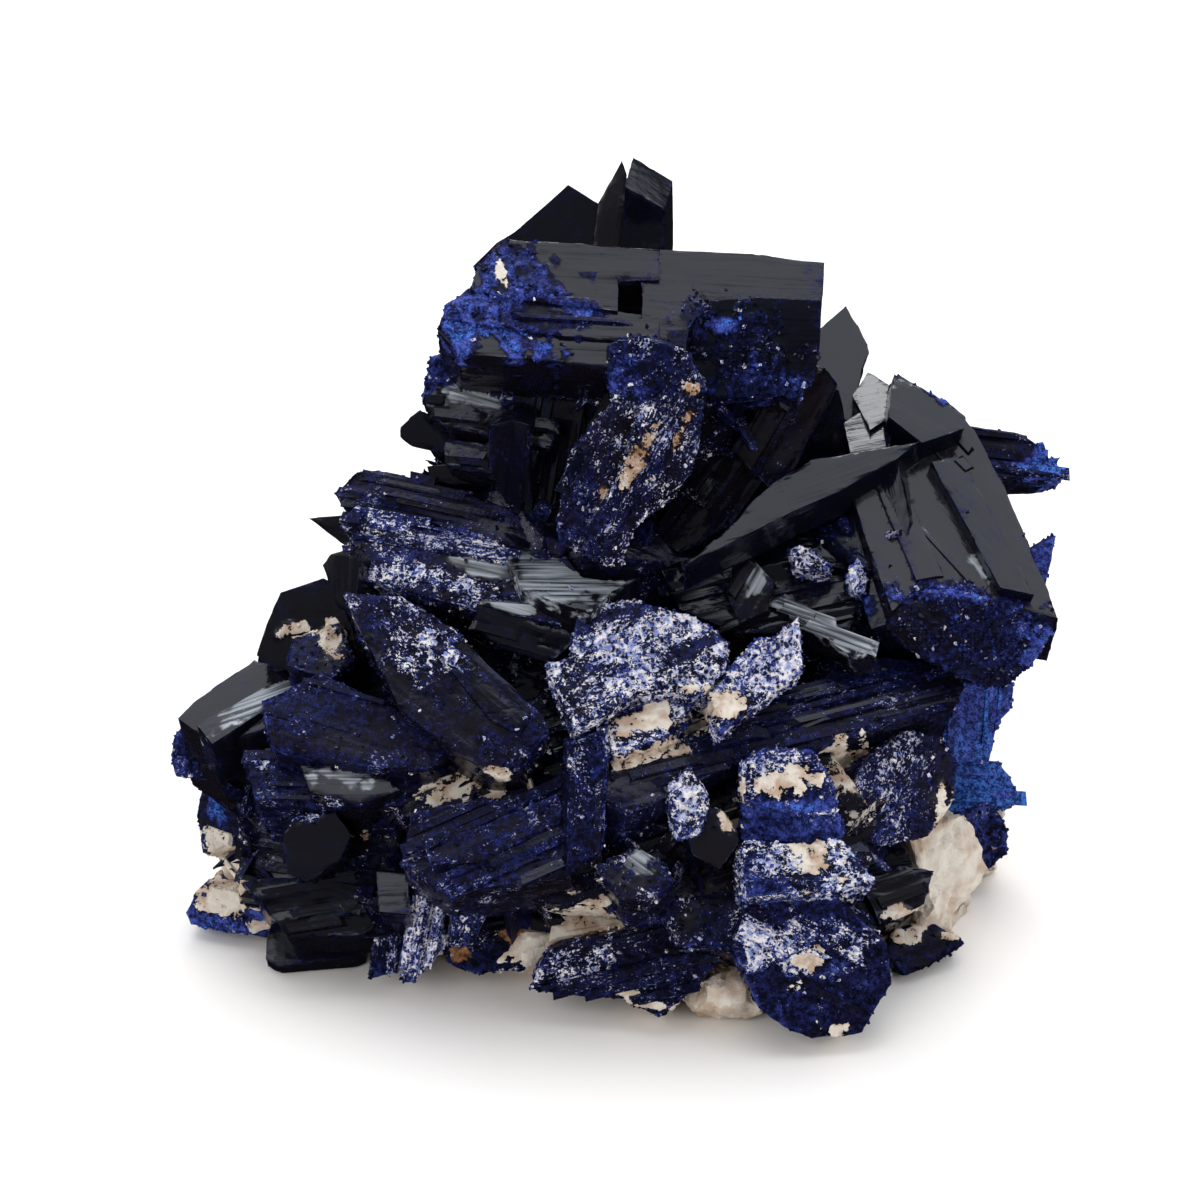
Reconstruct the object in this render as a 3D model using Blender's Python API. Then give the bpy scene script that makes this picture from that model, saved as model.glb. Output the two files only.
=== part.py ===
"""An azurite specimen: dark blue bladed crystals grown together on a lump of pale clay.

The front crystals are slabs. Each is a flat outline as an observer sees it, laid on a tilted
plane at its depth and given its thickness away from the observer. The observer stands in front
of the specimen and looks down on it. The other sides carry blades that radiate from the middle.
All crystals overlap, so they are fused into one solid. The clay is cut back around them, and
both end on the flat cut where the specimen was taken from its wall.

Numbers in outlines, depths and sizes are millimetres. The origin is the middle of the base.
"""

import math
import random
from collections import namedtuple

import bmesh
import bpy
from mathutils import Matrix, Vector
from mathutils.geometry import intersect_line_plane

MM = 0.001

# Driving dimensions
CLAY_HEIGHT = 6.0
CLAY_TOP_SHARE = 0.93
CLAY_GAP = 0.3
BLADE_TIP_SHARE = 0.72
CLOD_CORNERS = 22

# The observer's view, in which the outlines are given
VIEW_DISTANCE = 400.0
VIEW_ELEVATION = math.radians(30)
VIEW_POINT = Vector((-2.0, 0.0, 32.3))
RIGHT = Vector((1, 0, 0))
ABOVE = Vector((0, math.sin(VIEW_ELEVATION), math.cos(VIEW_ELEVATION)))
NEARER = Vector((0, -math.cos(VIEW_ELEVATION), math.sin(VIEW_ELEVATION)))
EYE = VIEW_POINT + NEARER * VIEW_DISTANCE

AZURITE_COLOUR = (0.010, 0.014, 0.055, 1)
CLAY_COLOUR = (0.72, 0.66, 0.58, 1)

# An outline's points are (right, above) of the middle of the view. depth is how much nearer than
# the middle the face lies, tilt is how much nearer it comes per millimetre to the right and up,
# and push is how far the back face is shifted right and up in the view.
Slab = namedtuple("Slab", "name depth tilt thick push outline")

# A blade grows from its root toward a compass angle (0 = right, 90 = away from the observer) and
# a climb above level. Its tip is a wedge of two unlike slopes, and roll turns it on its length.
Blade = namedtuple("Blade", "name root compass climb roll length width thick slopes")


def top_crystals():
    """The tablet that crowns the specimen, its steps at the left and the crystals behind it."""
    return [
        Slab("rear_left_crystal", 5, (0, 0), 9, (0, 0),
             [(-3.2, 41.6), (-0.2, 39.7), (0.8, 32), (-12.8, 33.4), (-10.4, 35.7), (-8.6, 36.8)]),
        Slab("top_spike", 6, (0, -0.2), 6, (0, 0),
             [(2.2, 44.2), (2.8, 42.5), (2.4, 33), (-1.2, 33), (-0.2, 39.7)]),
        Slab("top_block", 9, (0.1, 0.3), 9, (0.1, 1.1),
             [(2.4, 41.5), (6.5, 39.1), (6.5, 32), (2.1, 32)]),
        Slab("tablet", 17, (-0.05, -0.45), 11, (0, 0),
             [(3, 35.3), (16, 34.6), (22.5, 33.8), (22.3, 29.9), (15.5, 30.2), (11, 29.8),
              (9, 27.5), (8.6, 25), (4, 24), (3.2, 27), (4.2, 28.4), (4.3, 32), (3.2, 32.2)]),
        Slab("tablet_front", 17, (-0.05, 0.1), 12, (0, 0),
             [(22.3, 30), (22, 24.2), (21, 21.3), (18.2, 20.4), (11.6, 20.2), (7, 22), (8.6, 25),
              (9, 27.6), (11, 29.9), (15.5, 30.3)]),
        Slab("tablet_heart", 12.5, (0, -0.45), 9, (0, 0),
             [(-10, 33.5), (3, 34), (20, 32.5), (20, 22), (-10, 24)]),
        Slab("tablet_step_upper", 16.7, (0, -0.45), 10, (0, 0),
             [(-12.3, 33.6), (-9.8, 36.3), (3, 35.3), (2.9, 32), (1.9, 31.8), (1.8, 28.9), (-7.3, 30),
              (-13.2, 31)]),
        Slab("tablet_step_middle", 18, (0, -0.45), 10, (0, 0),
             [(-13.2, 31.3), (-7.3, 30.3), (2, 28.9), (3.8, 25.5), (-4, 26.4), (-15.9, 28.2),
              (-15.5, 29.7)]),
        Slab("tablet_step_lower", 19, (0, -0.45), 10, (0, 0),
             [(-15.9, 28.4), (-4, 26.6), (4, 25.7), (4, 22.8), (-4, 23.8), (-14.1, 24.7),
              (-16.3, 26.9)]),
        Slab("tablet_foot", 13, (0, -0.2), 12, (0, 0),
             [(-13, 25.5), (21, 24), (20, 20.4), (11, 19.5), (2, 19), (-8, 21), (-14, 23.5)]),
    ]


def left_shoulder_crystals():
    """The dark blades that stick out to the left below the tablet."""
    return [
        Slab("shoulder_druse", 12, (0.1, 0), 10, (0, 0),
             [(-17, 24.4), (-14, 25), (-8, 23), (-8.7, 18.9), (-16.2, 20.3), (-17.9, 19.9)]),
        Slab("shoulder_blade_upper", 13.5, (0.15, -0.3), 9, (-0.2, -1.2),
             [(-17.9, 19.9), (-16.2, 21.4), (-8.7, 18.9), (-4, 17.5), (-5, 15), (-15.8, 17.5)]),
        Slab("shoulder_blade_lower", 14, (0.15, -0.2), 8, (0, -0.8),
             [(-15.8, 16.2), (-10.8, 15.7), (-6, 15), (-7, 12), (-11.2, 12.6), (-15.6, 13.6)]),
        Slab("shoulder_glass_crystal", 8, (0.1, 0), 8, (0, 0),
             [(-20, 17.2), (-19, 18.4), (-18, 19), (-16.8, 17.4), (-12, 16.5), (-12, 14.6),
              (-16.2, 14.8), (-18.9, 15.4), (-20, 16.2)]),
        Slab("shoulder_prism", 17, (0, 0.3), 9, (1.2, 0.6),
             [(-11.2, 17.5), (-9, 18), (-6.8, 17.5), (-6.8, 9.8), (-9.5, 9.5), (-11, 13)]),
        Slab("shoulder_lump", 9, (0, 0), 8, (0, 0),
             [(-17.3, 13.4), (-13, 14), (-12, 11.5), (-15.2, 11.6), (-17, 12)]),
        Slab("throat_prism_left", 12, (0.1, 0.1), 10, (0, 0),
             [(-9, 24), (-2, 23.5), (-1, 14), (-4, 8), (-6.7, 5), (-9.5, 10)]),
        Slab("throat_prism_right", 10, (-0.1, 0.2), 10, (0, 0),
             [(-3, 24), (4, 23), (3.4, 12), (1, 4), (-4, 4), (-5.5, 12)]),
    ]


def hanging_leaves():
    """The coated plates that hang over the hollow."""
    return [
        Slab("hanging_knob", 21, (0, 0.1), 9, (0, 0),
             [(0.7, 25.5), (4, 26.5), (8.7, 25), (10.8, 21), (8.4, 19), (4, 18.6), (1, 20)]),
        Slab("hanging_leaf_left", 18.5, (0.25, 0.2), 3.5, (0, 0),
             [(-0.9, 17.2), (-2.2, 15.9), (-3.4, 13.8), (-3.8, 10.7), (-4.5, 7.8), (-4.1, 5.5),
              (-1, 4.2), (2.6, 8), (5.5, 15), (4, 19.5), (1.5, 20)]),
        Slab("hanging_leaf_right", 20, (-0.15, 0.2), 4, (0, 0),
             [(-1.6, 4.4), (1, 3.4), (2.4, 3.2), (2.8, 5.3), (3.7, 7.6), (7.4, 10.1), (9.3, 13),
              (9.8, 15.7), (10.5, 20), (7, 21), (4, 19.5), (2.2, 13), (-1, 7)]),
        Slab("leaf_anchor", 15, (0, 0), 9, (0, 0),
             [(-3, 8), (5, 9), (9, 14), (10, 21), (1, 22), (-2, 16)]),
    ]


def hollow_crystals():
    """The dark blades at the bottom of the deep hollow, right of the middle."""
    return [
        Slab("hollow_back_prism", 3, (0, 0.2), 14, (0, 0),
             [(8, 22), (20, 22), (24, 21), (25.5, 12), (20, 4), (8, 4), (3, 10)]),
        Slab("hollow_blade_upper", 9, (-0.1, 0.1), 5, (0, 0),
             [(17, 21), (22.5, 23.3), (24, 21.5), (19.5, 13), (17, 11), (13, 15)]),
        Slab("hollow_blade_middle", 7, (0.2, -0.2), 6, (0, 0),
             [(9.5, 19), (16, 20), (18.5, 14), (13, 7.5), (8, 4.5), (5, 6.5), (9, 12)]),
        Slab("hollow_blade_lower", 9, (0, -0.4), 8, (0, 0),
             [(6, 3), (12, 5), (20, 7), (24, 4), (26, 0), (25, -3.5), (14, -3.5), (8, -1)]),
        Slab("hollow_strip", 12, (0.1, -0.6), 4, (0, 0),
             [(17, 0), (18.5, 0.8), (23.1, -1.9), (27.7, -4.8), (25.4, -6), (18.9, -1)]),
        Slab("hollow_chip_left", 12, (0.1, -0.3), 4, (0, 0),
             [(18.8, 5), (20, 5.7), (23.2, 3.6), (22.5, 2.8), (19.5, 3.2)]),
        Slab("hollow_chip_right", 11, (0, -0.3), 4, (0, 0),
             [(24.8, 3), (25.8, 4.5), (27, 2), (26.5, 0.5), (25, 1)]),
        Slab("hollow_fan", 11, (0.1, -0.2), 5, (0, 0),
             [(13, 3.5), (15, 4.4), (17.5, 2), (17, -1), (14, -2.5), (12.8, 0)]),
    ]


def right_crystals():
    """The big blade at the right with its broken end, and what stands around it."""
    return [
        Slab("right_big_blade", 9, (-0.12, -0.6), 8, (0.4, -0.2),
             [(29.7, 22.8), (35.3, 19.5), (37.5, 17), (40.3, 11.8), (42.9, 5.9), (46, -1.9),
              (42.4, -1), (37.8, 0.4), (35.5, 1.3), (31.6, 1.1), (29.2, -1.2), (26.6, 6),
              (25.2, 10.5), (28.8, 18.4)]),
        Slab("right_broken_end", 13, (-0.1, 0.15), 9, (0, 0),
             [(29, -0.9), (31.6, 0.9), (35.5, 1.1), (40, 0), (45.4, -2.1), (45.2, -3.4), (43, -6.6),
              (40.5, -8.6), (38, -8.7), (34.5, -7), (31, -5.2), (29.2, -3.2)]),
        Slab("right_blade_wedge", 6, (-0.2, -0.9), 9, (0, 0),
             [(29.4, 22.8), (35.3, 19.5), (36.6, 18.4), (36.6, 17.2), (32.2, 15.7), (28.8, 18.4)]),
        Slab("right_blade_ridge_outer", 10.6, (-0.12, -0.6), 6, (0, 0),
             [(33, 14), (36.2, 14.5), (43.5, 0.5), (40, 1.2)]),
        Slab("right_blade_ridge_inner", 10.4, (-0.12, -0.6), 6, (0, 0),
             [(27.5, 11.5), (30, 12.5), (34.5, 2.5), (31.6, 2)]),
        Slab("right_blade_flank", 10, (0.5, -0.3), 10, (1, -3),
             [(29.7, 14.1), (31, 8), (30, 2), (29, -2.3), (27, -3), (24.8, 4), (24, 10.9)]),
        Slab("right_rear_blade", -3, (-0.1, -0.2), 8, (0.5, 0.5),
             [(36, 17.5), (42.4, 16.5), (43.6, 15.7), (44.3, 15.9), (44.9, 14.9), (44.1, 14.3), (46.2, 14.4),
              (45.5, 13.3), (47, 12.8), (46, 12.1), (44.3, 11.8), (40.3, 11.8), (34, 10), (32, 14)]),
        Slab("right_spike", -3, (0, 0), 5, (0, 0),
             [(43, 5), (45.8, 6.7), (44.9, 3), (44.6, 1.2), (43, 0), (36, 0), (35, 5)]),
        Slab("grey_leaf", -3, (0, -0.6), 6, (-0.6, 0.3),
             [(24.6, 29.5), (25.8, 27.6), (26.8, 25.7), (27, 24.8), (26.2, 23.2), (25.5, 18),
              (22, 18), (21, 22), (21.8, 25.3), (21.8, 27.1)]),
        Slab("grey_chip_upper", 2, (0, -1.2), 6, (0, 0),
             [(25.2, 20.5), (26.8, 22.9), (29.1, 21.6), (30, 19), (27, 17)]),
        Slab("grey_chip_lower", 5, (0, -1), 7, (0, 0),
             [(24.3, 17.8), (29.3, 20.9), (29.5, 19), (29, 15), (25.4, 13)]),
        Slab("long_shard", 12, (-0.1, -0.5), 3.5, (0.3, -1),
             [(8.4, 3.4), (11.4, 6.1), (13.3, 7.6), (15.2, 9.9), (17.3, 11.8), (21.1, 14),
              (25, 14.7), (29.7, 15.5), (32, 15.9), (29.7, 14.1), (24, 10.9), (19.2, 8.8),
              (14.2, 6.3)]),
        Slab("shard_seat", 6, (0, -0.2), 10, (0, 0),
             [(16, 10), (24, 14.5), (31, 14.5), (30, 4), (24, 1), (17, 5)]),
        Slab("blue_stem", -4, (-0.3, 0.2), 9, (0, 0),
             [(41.3, -8), (41.3, -11), (39.7, -12.4), (39.4, -14.6), (39, -16.5), (33, -17),
              (33, -7)]),
        Slab("blue_plate", -9, (-0.2, -0.3), 6, (0, 0),
             [(36.8, -16), (39.9, -15.9), (42.4, -19.8), (38.2, -21.3), (33, -21), (33, -16)]),
        Slab("low_right_splinter", -10, (-0.2, 0.3), 7, (0, 0),
             [(39, -20), (40.9, -23.1), (40.8, -25.5), (38.7, -27), (36.3, -31), (33, -30),
              (34, -22)]),
    ]


def middle_crystals():
    """The coated plates, bars and crystals that face the observer in the middle."""
    return [
        Slab("grey_ledge", 15, (0, -1), 8, (0, 0),
             [(-9.9, 5.9), (-6.8, 5.3), (-5.7, 4.8), (-3.7, 4.8), (-1.8, 2.3), (1, 1.9),
              (4.1, 2.3), (1.2, 0.9), (-0.9, -1.4), (-3.2, -0.6), (-7.8, 1.1), (-9.3, 3.6)]),
        Slab("plate_a", 19, (0, -0.45), 4.5, (0, 0),
             [(-5.4, -6.5), (-3, -5.6), (-2.4, -1.4), (0.1, -0.2), (3, 0.2), (6.2, -0.6),
              (9.7, -1.7), (12.8, -4), (12.6, -6.7), (10.3, -9.2), (3.7, -9.2), (1.2, -11.1),
              (-2.6, -12.8)]),
        Slab("plate_c", 19.5, (0.1, -0.5), 4, (0, 0),
             [(0.8, -11), (8.3, -9.2), (9, -10.5), (5.8, -14), (1.2, -15.1), (0.4, -13)]),
        Slab("plate_b", 18, (-0.15, -0.35), 4.5, (0, 0),
             [(19.9, -1.5), (20.4, -7.1), (12.2, -13.2), (10.9, -9.4), (13.6, -6),
              (15.9, -3.8), (17.4, -4.2)]),
        Slab("long_bar", 15, (-0.18, -0.5), 9, (0, -0.6),
             [(0.5, -20), (0.5, -17), (4, -15.1), (11.5, -12.3), (20.5, -8), (28, -5.5),
              (37, -7), (36, -10), (22.4, -14.7), (14.1, -16.1), (8, -19), (3, -21.5)]),
        Slab("cream_crystal", 18, (0, -0.1), 9, (0, 0),
             [(14.1, -16.1), (16.2, -14.7), (21.2, -14.9), (23.5, -18.6), (23.7, -21.4),
              (19, -21.5), (14.3, -20.1)]),
        Slab("banded_crystal", 17, (0, 0), 9, (0, 0),
             [(14.3, -20), (23.7, -21), (24.4, -23.7), (20.3, -24.7), (14, -24)]),
        Slab("clay_faced_crystal", 19, (-0.1, -0.3), 9, (0, 0),
             [(14.5, -23.9), (20.3, -24.5), (23.9, -23.7), (27.7, -28.1), (23.7, -29.1),
              (14.7, -29.7), (14, -25.6)]),
        Slab("pitted_blade", 10, (-0.4, -0.1), 9, (0, 0),
             [(26.6, -16.1), (30.8, -13), (34, -13.6), (36, -16), (35.5, -20), (32.7, -23.7),
              (27.9, -24.7), (25.6, -22.8), (24.8, -19.9)]),
        Slab("speckled_bar", 20, (0, 0.1), 4.5, (-0.6, 0),
             [(-3.2, -14.5), (0.7, -12.6), (1, -15.1), (0.4, -25.1), (-3.4, -27.6)]),
        Slab("big_diagonal_blade", 16.5, (0.1, -0.35), 8, (0, -0.8),
             [(-18.9, -21.2), (-10.9, -19.9), (-5.2, -18), (-2.8, -16), (-3, -27.2), (-15, -29.5),
              (-20.1, -26.6)]),
        Slab("diagonal_blade_ridge", 17.6, (0.1, -0.35), 6, (0, 0),
             [(-17.5, -24.5), (-4, -19.5), (-3.6, -22), (-12, -26.2), (-17, -26.5)]),
        Slab("small_grey_crystal", 18.5, (0.1, -0.4), 7, (0, -0.8),
             [(-0.4, -26.6), (3.8, -24.5), (6.3, -26.2), (7.3, -28.1), (4.8, -30), (1.9, -30)]),
        Slab("speckled_chip", 19.5, (0, -0.1), 6, (0, 0),
             [(6.5, -18.5), (9, -16.5), (11, -20), (10, -23.5), (7.5, -23.8)]),
        Slab("dark_lump_upper", 18.5, (0, -0.2), 7, (0, 0),
             [(10.2, -20.5), (12.4, -20.8), (14, -24), (12, -27), (9.2, -25.5), (8.5, -23)]),
        Slab("centre_bed", 12, (0, -0.2), 14, (0, 0),
             [(-18, -14), (-4, -5), (12, -8), (22, -14), (28, -22), (24, -30), (4, -31),
              (-14, -30), (-20, -22)]),
    ]


def left_crystals():
    """The blades and slabs that fan out to the left."""
    return [
        Slab("upper_blade", 10, (0.2, -0.25), 6, (0, -1),
             [(-26.7, 10.7), (-24.3, 13), (-22, 13.2), (-17.4, 12.1), (-10, 9.5), (-3, 5.5),
              (-4, 4), (-10, 5.5), (-18, 8), (-25.4, 9.3)]),
        Slab("second_blade", 11, (0.2, -0.25), 6, (0, -0.6),
             [(-26.2, 8.3), (-24.3, 9.5), (-16, 7.5), (-8, 5), (-8, 3), (-18, 5), (-25.5, 6.5)]),
        Slab("grey_wedge", 5, (0.2, 0), 6, (0, 0),
             [(-29.3, 8.2), (-25.5, 8.5), (-20, 7.5), (-20, 4.5), (-25.6, 5.4)]),
        Slab("coated_row", 13, (0.15, -0.4), 9, (0, -0.5),
             [(-25.9, 6), (-20, 6.5), (-9, 4), (-3, 0), (-4, -2.5), (-12, -1), (-20, 1),
              (-25.4, 2.5)]),
        Slab("striated_block", 15.5, (0.1, 0), 10, (0, 0.5),
             [(-12, 0), (-3, -0.6), (-2.4, -4), (-5, -6.5), (-10.5, -4.5), (-13, -2.5)]),
        Slab("mid_slab_end", 12, (0.5, 0), 9, (0.5, 0),
             [(-27.9, 3.5), (-27, 4.6), (-25.8, 5), (-24, 4), (-24.5, -2), (-26.2, -0.9)]),
        Slab("long_mid_blade", 17, (0.12, -0.25), 9, (-0.5, -0.9),
             [(-25.6, 1), (-20, 0.5), (-14.7, -2.6), (-12.4, -5.2), (-5.7, -11.3),
              (-5.1, -13.2), (-8, -16.5), (-11.6, -16.8), (-15, -14.9), (-20, -10.9),
              (-25, -1.2)]),
        Slab("grey_plate", 4, (0.15, -0.05), 8, (0.6, 0),
             [(-33.3, -2.2), (-32, 0.8), (-27.7, 2.2), (-25, -2), (-24, -6), (-32.5, -7.2),
              (-34.4, -5.5)]),
        Slab("grey_plate_chip", 8, (0, -0.6), 5, (0, 0),
             [(-31, -3.5), (-26, -2), (-24.5, -6), (-27, -8), (-31.5, -6.5)]),
        Slab("left_prism", 3, (0.15, -0.7), 7, (0, -3),
             [(-42.3, -11.8), (-40.6, -10.1), (-34.6, -5.9), (-30.4, -7.2), (-28, -11),
              (-38.5, -14.5)]),
        Slab("left_prism_bevel", 4.2, (0.15, -1), 5, (0, -1),
             [(-40.4, -12.4), (-30.4, -6.8), (-29.6, -8.4), (-38.8, -14.4)]),
        Slab("left_prism_end", 1, (0.2, 0.2), 7, (0.3, 0.4),
             [(-42.6, -13), (-39, -13.9), (-36, -14), (-36.7, -17.2), (-39.2, -18.1),
              (-42.5, -17.7), (-43.1, -16.2)]),
        Slab("left_dark_blade", 13, (0.1, -0.4), 8, (0, -1),
             [(-34, -10), (-28, -7.2), (-20, -10.9), (-15, -14.5), (-17, -17), (-26, -16.5),
              (-33, -14.5)]),
        Slab("left_low_blade", 10.5, (0.15, -0.5), 8, (0, -1),
             [(-36, -15.5), (-31, -14.5), (-22, -16), (-17, -18), (-20, -20.5), (-29, -20.5),
              (-34.5, -20)]),
        Slab("left_grey_face", 13.5, (0, -0.5), 6, (0, 0),
             [(-30, -16.5), (-23.5, -16), (-20, -19), (-24, -20.5), (-29, -19.2)]),
        Slab("round_leaf", 11.5, (0.1, -0.1), 6, (0, 0),
             [(-31.8, -23.5), (-30.6, -21.6), (-26.4, -21.2), (-24.9, -23.5), (-26, -26),
              (-29.3, -28.3), (-31.4, -27.3)]),
        Slab("left_fan", -1, (0.3, -0.2), 8, (0, 0),
             [(-40.1, -18.3), (-36, -18), (-30, -20), (-30, -25), (-34, -23.5), (-39.6, -25.2),
              (-40.4, -21.6)]),
        Slab("mid_blade_ridge", 18.2, (0.12, -0.25), 6, (0, 0),
             [(-17, -4.5), (-14, -4.8), (-7, -11.5), (-8, -13.5), (-11, -12)]),
        Slab("left_bed", 5, (0.35, -0.2), 14, (0, 0),
             [(-37, -14), (-28, -6), (-16, 2), (-8, 2), (-8, -28), (-22, -31.5), (-36, -30.5)]),
    ]


def bottom_crystals():
    """The low row along the front, which stands on the cut."""
    return [
        Slab("corner_lump", -3, (0.3, 0.2), 9, (0, 0),
             [(-41.7, -31.3), (-40.6, -29.2), (-39.8, -28.3), (-34, -30), (-32.5, -32.5),
              (-33.5, -34), (-41.1, -32.7)]),
        Slab("bottom_slab", 1, (0.1, -0.3), 8, (0, 0),
             [(-33.4, -33), (-23.9, -33), (-23.7, -35), (-24.9, -35.7), (-32.3, -36.7),
              (-33.5, -35.9)]),
        Slab("bottom_block", 6, (0.2, 0.1), 10, (0, 0),
             [(-32.8, -30.5), (-32, -28.5), (-27, -27.8), (-22.5, -28.5), (-22.8, -33.5),
              (-33.2, -33.5)]),
        Slab("bottom_facet", 12, (0.2, 0.2), 7, (0, 0),
             [(-22.5, -27), (-19.2, -27.2), (-19, -31.5), (-22.2, -31.2)]),
        Slab("front_blade_a", 7, (0.2, 0.5), 6, (0, 0),
             [(-22, -31.8), (-20, -30.5), (-19.6, -34.5), (-20, -37.3), (-23.4, -38),
              (-22.8, -34.5)]),
        Slab("front_blade_b", 9, (0, 0.5), 6, (0, 0),
             [(-18.9, -30.2), (-15.7, -28.7), (-15.3, -35.2), (-18.6, -38.3), (-19.9, -38.7)]),
        Slab("front_blade_c", 12.5, (-0.1, 0.2), 6, (0, 0),
             [(-14.4, -28.7), (-11.5, -30.5), (-12.5, -34.5), (-15, -35)]),
        Slab("front_lumps", 6, (0, 0.4), 8, (0, 0),
             [(-15.5, -33.3), (-11, -32.5), (-6.7, -34), (-7.2, -37.2), (-12.5, -37.5),
              (-15.5, -36.5)]),
        Slab("front_shard", 11, (0.1, 0.1), 7, (0, 0),
             [(-7.3, -39), (-5.7, -35.6), (-2.9, -34.3), (6.7, -31.4), (13, -34), (10, -38.5),
              (5.9, -41.9), (4, -40.8), (1, -39.8), (-1.9, -39.6)]),
        Slab("big_front_crystal", 14.5, (-0.15, 0.25), 13, (0, 0),
             [(15.3, -30.2), (23.7, -29.9), (28.7, -34.4), (29.4, -38.3), (27.7, -40.6),
              (26.2, -43.6), (21.2, -44), (19.3, -43.2), (15.9, -40.8), (13, -34.8)]),
        Slab("front_rib", 15, (0, -0.3), 8, (0, 0),
             [(5, -30), (13, -29), (15, -31), (14.5, -35), (8, -34.5)]),
        Slab("low_right_crystal", 8, (-0.2, -0.2), 9, (0, 0),
             [(26, -28), (30, -26.5), (33.5, -27), (32.5, -30.5), (28, -32.5)]),
        Slab("low_right_lump", 1, (-0.2, -0.2), 7, (0, 0),
             [(36.4, -34.7), (36.3, -33.7), (33, -32), (29.5, -33), (28.5, -35.5),
              (30.7, -37.7)]),
        Slab("bottom_bed", 7, (0, -0.3), 9, (0, 0),
             [(-36, -28), (-10, -26), (14, -27), (30, -24), (33, -29), (28, -33), (10, -34),
              (-10, -33), (-31, -34)]),
    ]


def side_and_back_blades():
    """Blades that radiate from the middle to the right, the left and away from the observer."""
    rows = [
        ("low", 7, 11, 13, (-12, 200), 27, 11, 4.5),
        ("low_small", 12, 9, 22, (-5, 190), 14, 5.5, 3),
        ("middle", 20, 9, 9, (-5, 190), 26, 12, 5),
        ("middle_small", 28, 8, 15, (10, 175), 13, 5.5, 3),
        ("upper", 36, 7, 5, (15, 150), 22, 10, 4.5),
        ("upper_small", 44, 5, 9, (20, 160), 12, 5, 3),
        ("crest", 53, 5, 3, (30, 150), 16, 8, 4),
    ]
    draws = random.Random(41)
    blades = []
    for row, height, count, start, (first, last), length, width, thick in rows:
        for place in range(count):
            compass = first + (last - first) * (place + draws.uniform(0.15, 0.85)) / count
            root = (start * math.cos(math.radians(compass)),
                    5 + 0.6 * start * math.sin(math.radians(compass)),
                    height + draws.uniform(-3, 3))
            blades.append(Blade(
                f"{row}_blade_{place + 1}", root, compass, draws.uniform(-2, 38),
                draws.uniform(-80, 80), length * draws.uniform(0.75, 1.1),
                width * draws.uniform(0.6, 1.3), thick * draws.uniform(0.6, 1.25),
                (draws.uniform(24, 48), draws.uniform(30, 65))))
    return blades


CORE_CLODS = [
    # (middle, half sizes) of the dark mass that the crystals grow from
    ((0, 1, 17), (33, 24, 14)),
    ((-4, 3, 34), (21, 17, 15)),
    ((2, 6, 52), (14, 12, 15)),
    ((22, 3, 33), (15, 14, 13)),
]

CLAY_FOOTPRINT = [(-39, -2), (-35, -9), (-27, -13), (-17, -17), (-7, -20), (3, -24), (12, -25),
                  (22, -22), (31, -17), (37, -8), (38.5, 3), (36, 13), (30, 20), (22, 28), (9, 30),
                  (-3, 32), (-15, 28), (-27, 24), (-34, 14), (-39, 8)]

CLAY_CLODS = [
    # (middle, half sizes) of the clay that swells up between the crystals
    ((-37, -7, 6), (5, 6, 6)),
    ((-34, -12, 3), (5, 5, 4)),
    ((-14, -17, 5), (8, 5, 5)),
    ((-6, -20, 5), (8, 5, 6)),
    ((4, -23, 5), (8, 5, 6)),
    ((10, -26, 3), (6, 4, 4)),
    ((31, -12, 8), (7, 7, 9)),
    ((34.5, 0, 5), (6.5, 8, 8)),
    ((33, 12, 4), (6, 8, 6)),
    ((20, 23, 4), (11, 8, 7)),
    ((-2, 27, 4), (11, 7, 6)),
    ((-20, 22, 5), (11, 8, 7)),
    ((-35, 8, 4), (6, 9, 6)),
]


def clear_scene():
    for old in list(bpy.data.objects):
        bpy.data.objects.remove(old)


def new_collection(name):
    collection = bpy.data.collections.new(name)
    bpy.context.scene.collection.children.link(collection)
    return collection


def material(name, colour, roughness):
    finish = bpy.data.materials.new(name)
    finish.use_nodes = True
    shader = finish.node_tree.nodes["Principled BSDF"]
    shader.inputs["Base Color"].default_value = colour
    shader.inputs["Roughness"].default_value = roughness
    shader.inputs["Metallic"].default_value = 0
    return finish


def add_object(name, mesh, collection):
    piece = bpy.data.objects.new(name, mesh)
    collection.objects.link(piece)
    return piece


def hide_helper(piece):
    piece.hide_render = True
    piece.display_type = "WIRE"


def mesh_from_bmesh(name, shape):
    bmesh.ops.recalc_face_normals(shape, faces=shape.faces)
    mesh = bpy.data.meshes.new(name)
    shape.to_mesh(mesh)
    shape.free()
    return mesh


def evaluated_mesh(piece):
    graph = bpy.context.evaluated_depsgraph_get()
    return bpy.data.meshes.new_from_object(piece.evaluated_get(graph))


def flat_outline_mesh(name, points, thick, collection):
    """A closed solid from a flat outline, centred on its plane, in the outline's own axes."""
    curve = bpy.data.curves.new(name, "CURVE")
    curve.dimensions = "2D"
    curve.fill_mode = "BOTH"
    curve.extrude = thick / 2
    spline = curve.splines.new("POLY")
    spline.points.add(len(points) - 1)
    for point, (across, along) in zip(spline.points, points):
        point.co = (across, along, 0, 1)
    spline.use_cyclic_u = True
    outline = add_object(name, curve, collection)
    mesh = evaluated_mesh(outline)
    bpy.data.objects.remove(outline)
    shape = bmesh.new()
    shape.from_mesh(mesh)
    bmesh.ops.remove_doubles(shape, verts=shape.verts, dist=0.01)
    return shape


def seen(right, above):
    """The place on the view's middle plane that the observer sees right of and above its middle."""
    return VIEW_POINT + RIGHT * right + ABOVE * above


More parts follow.
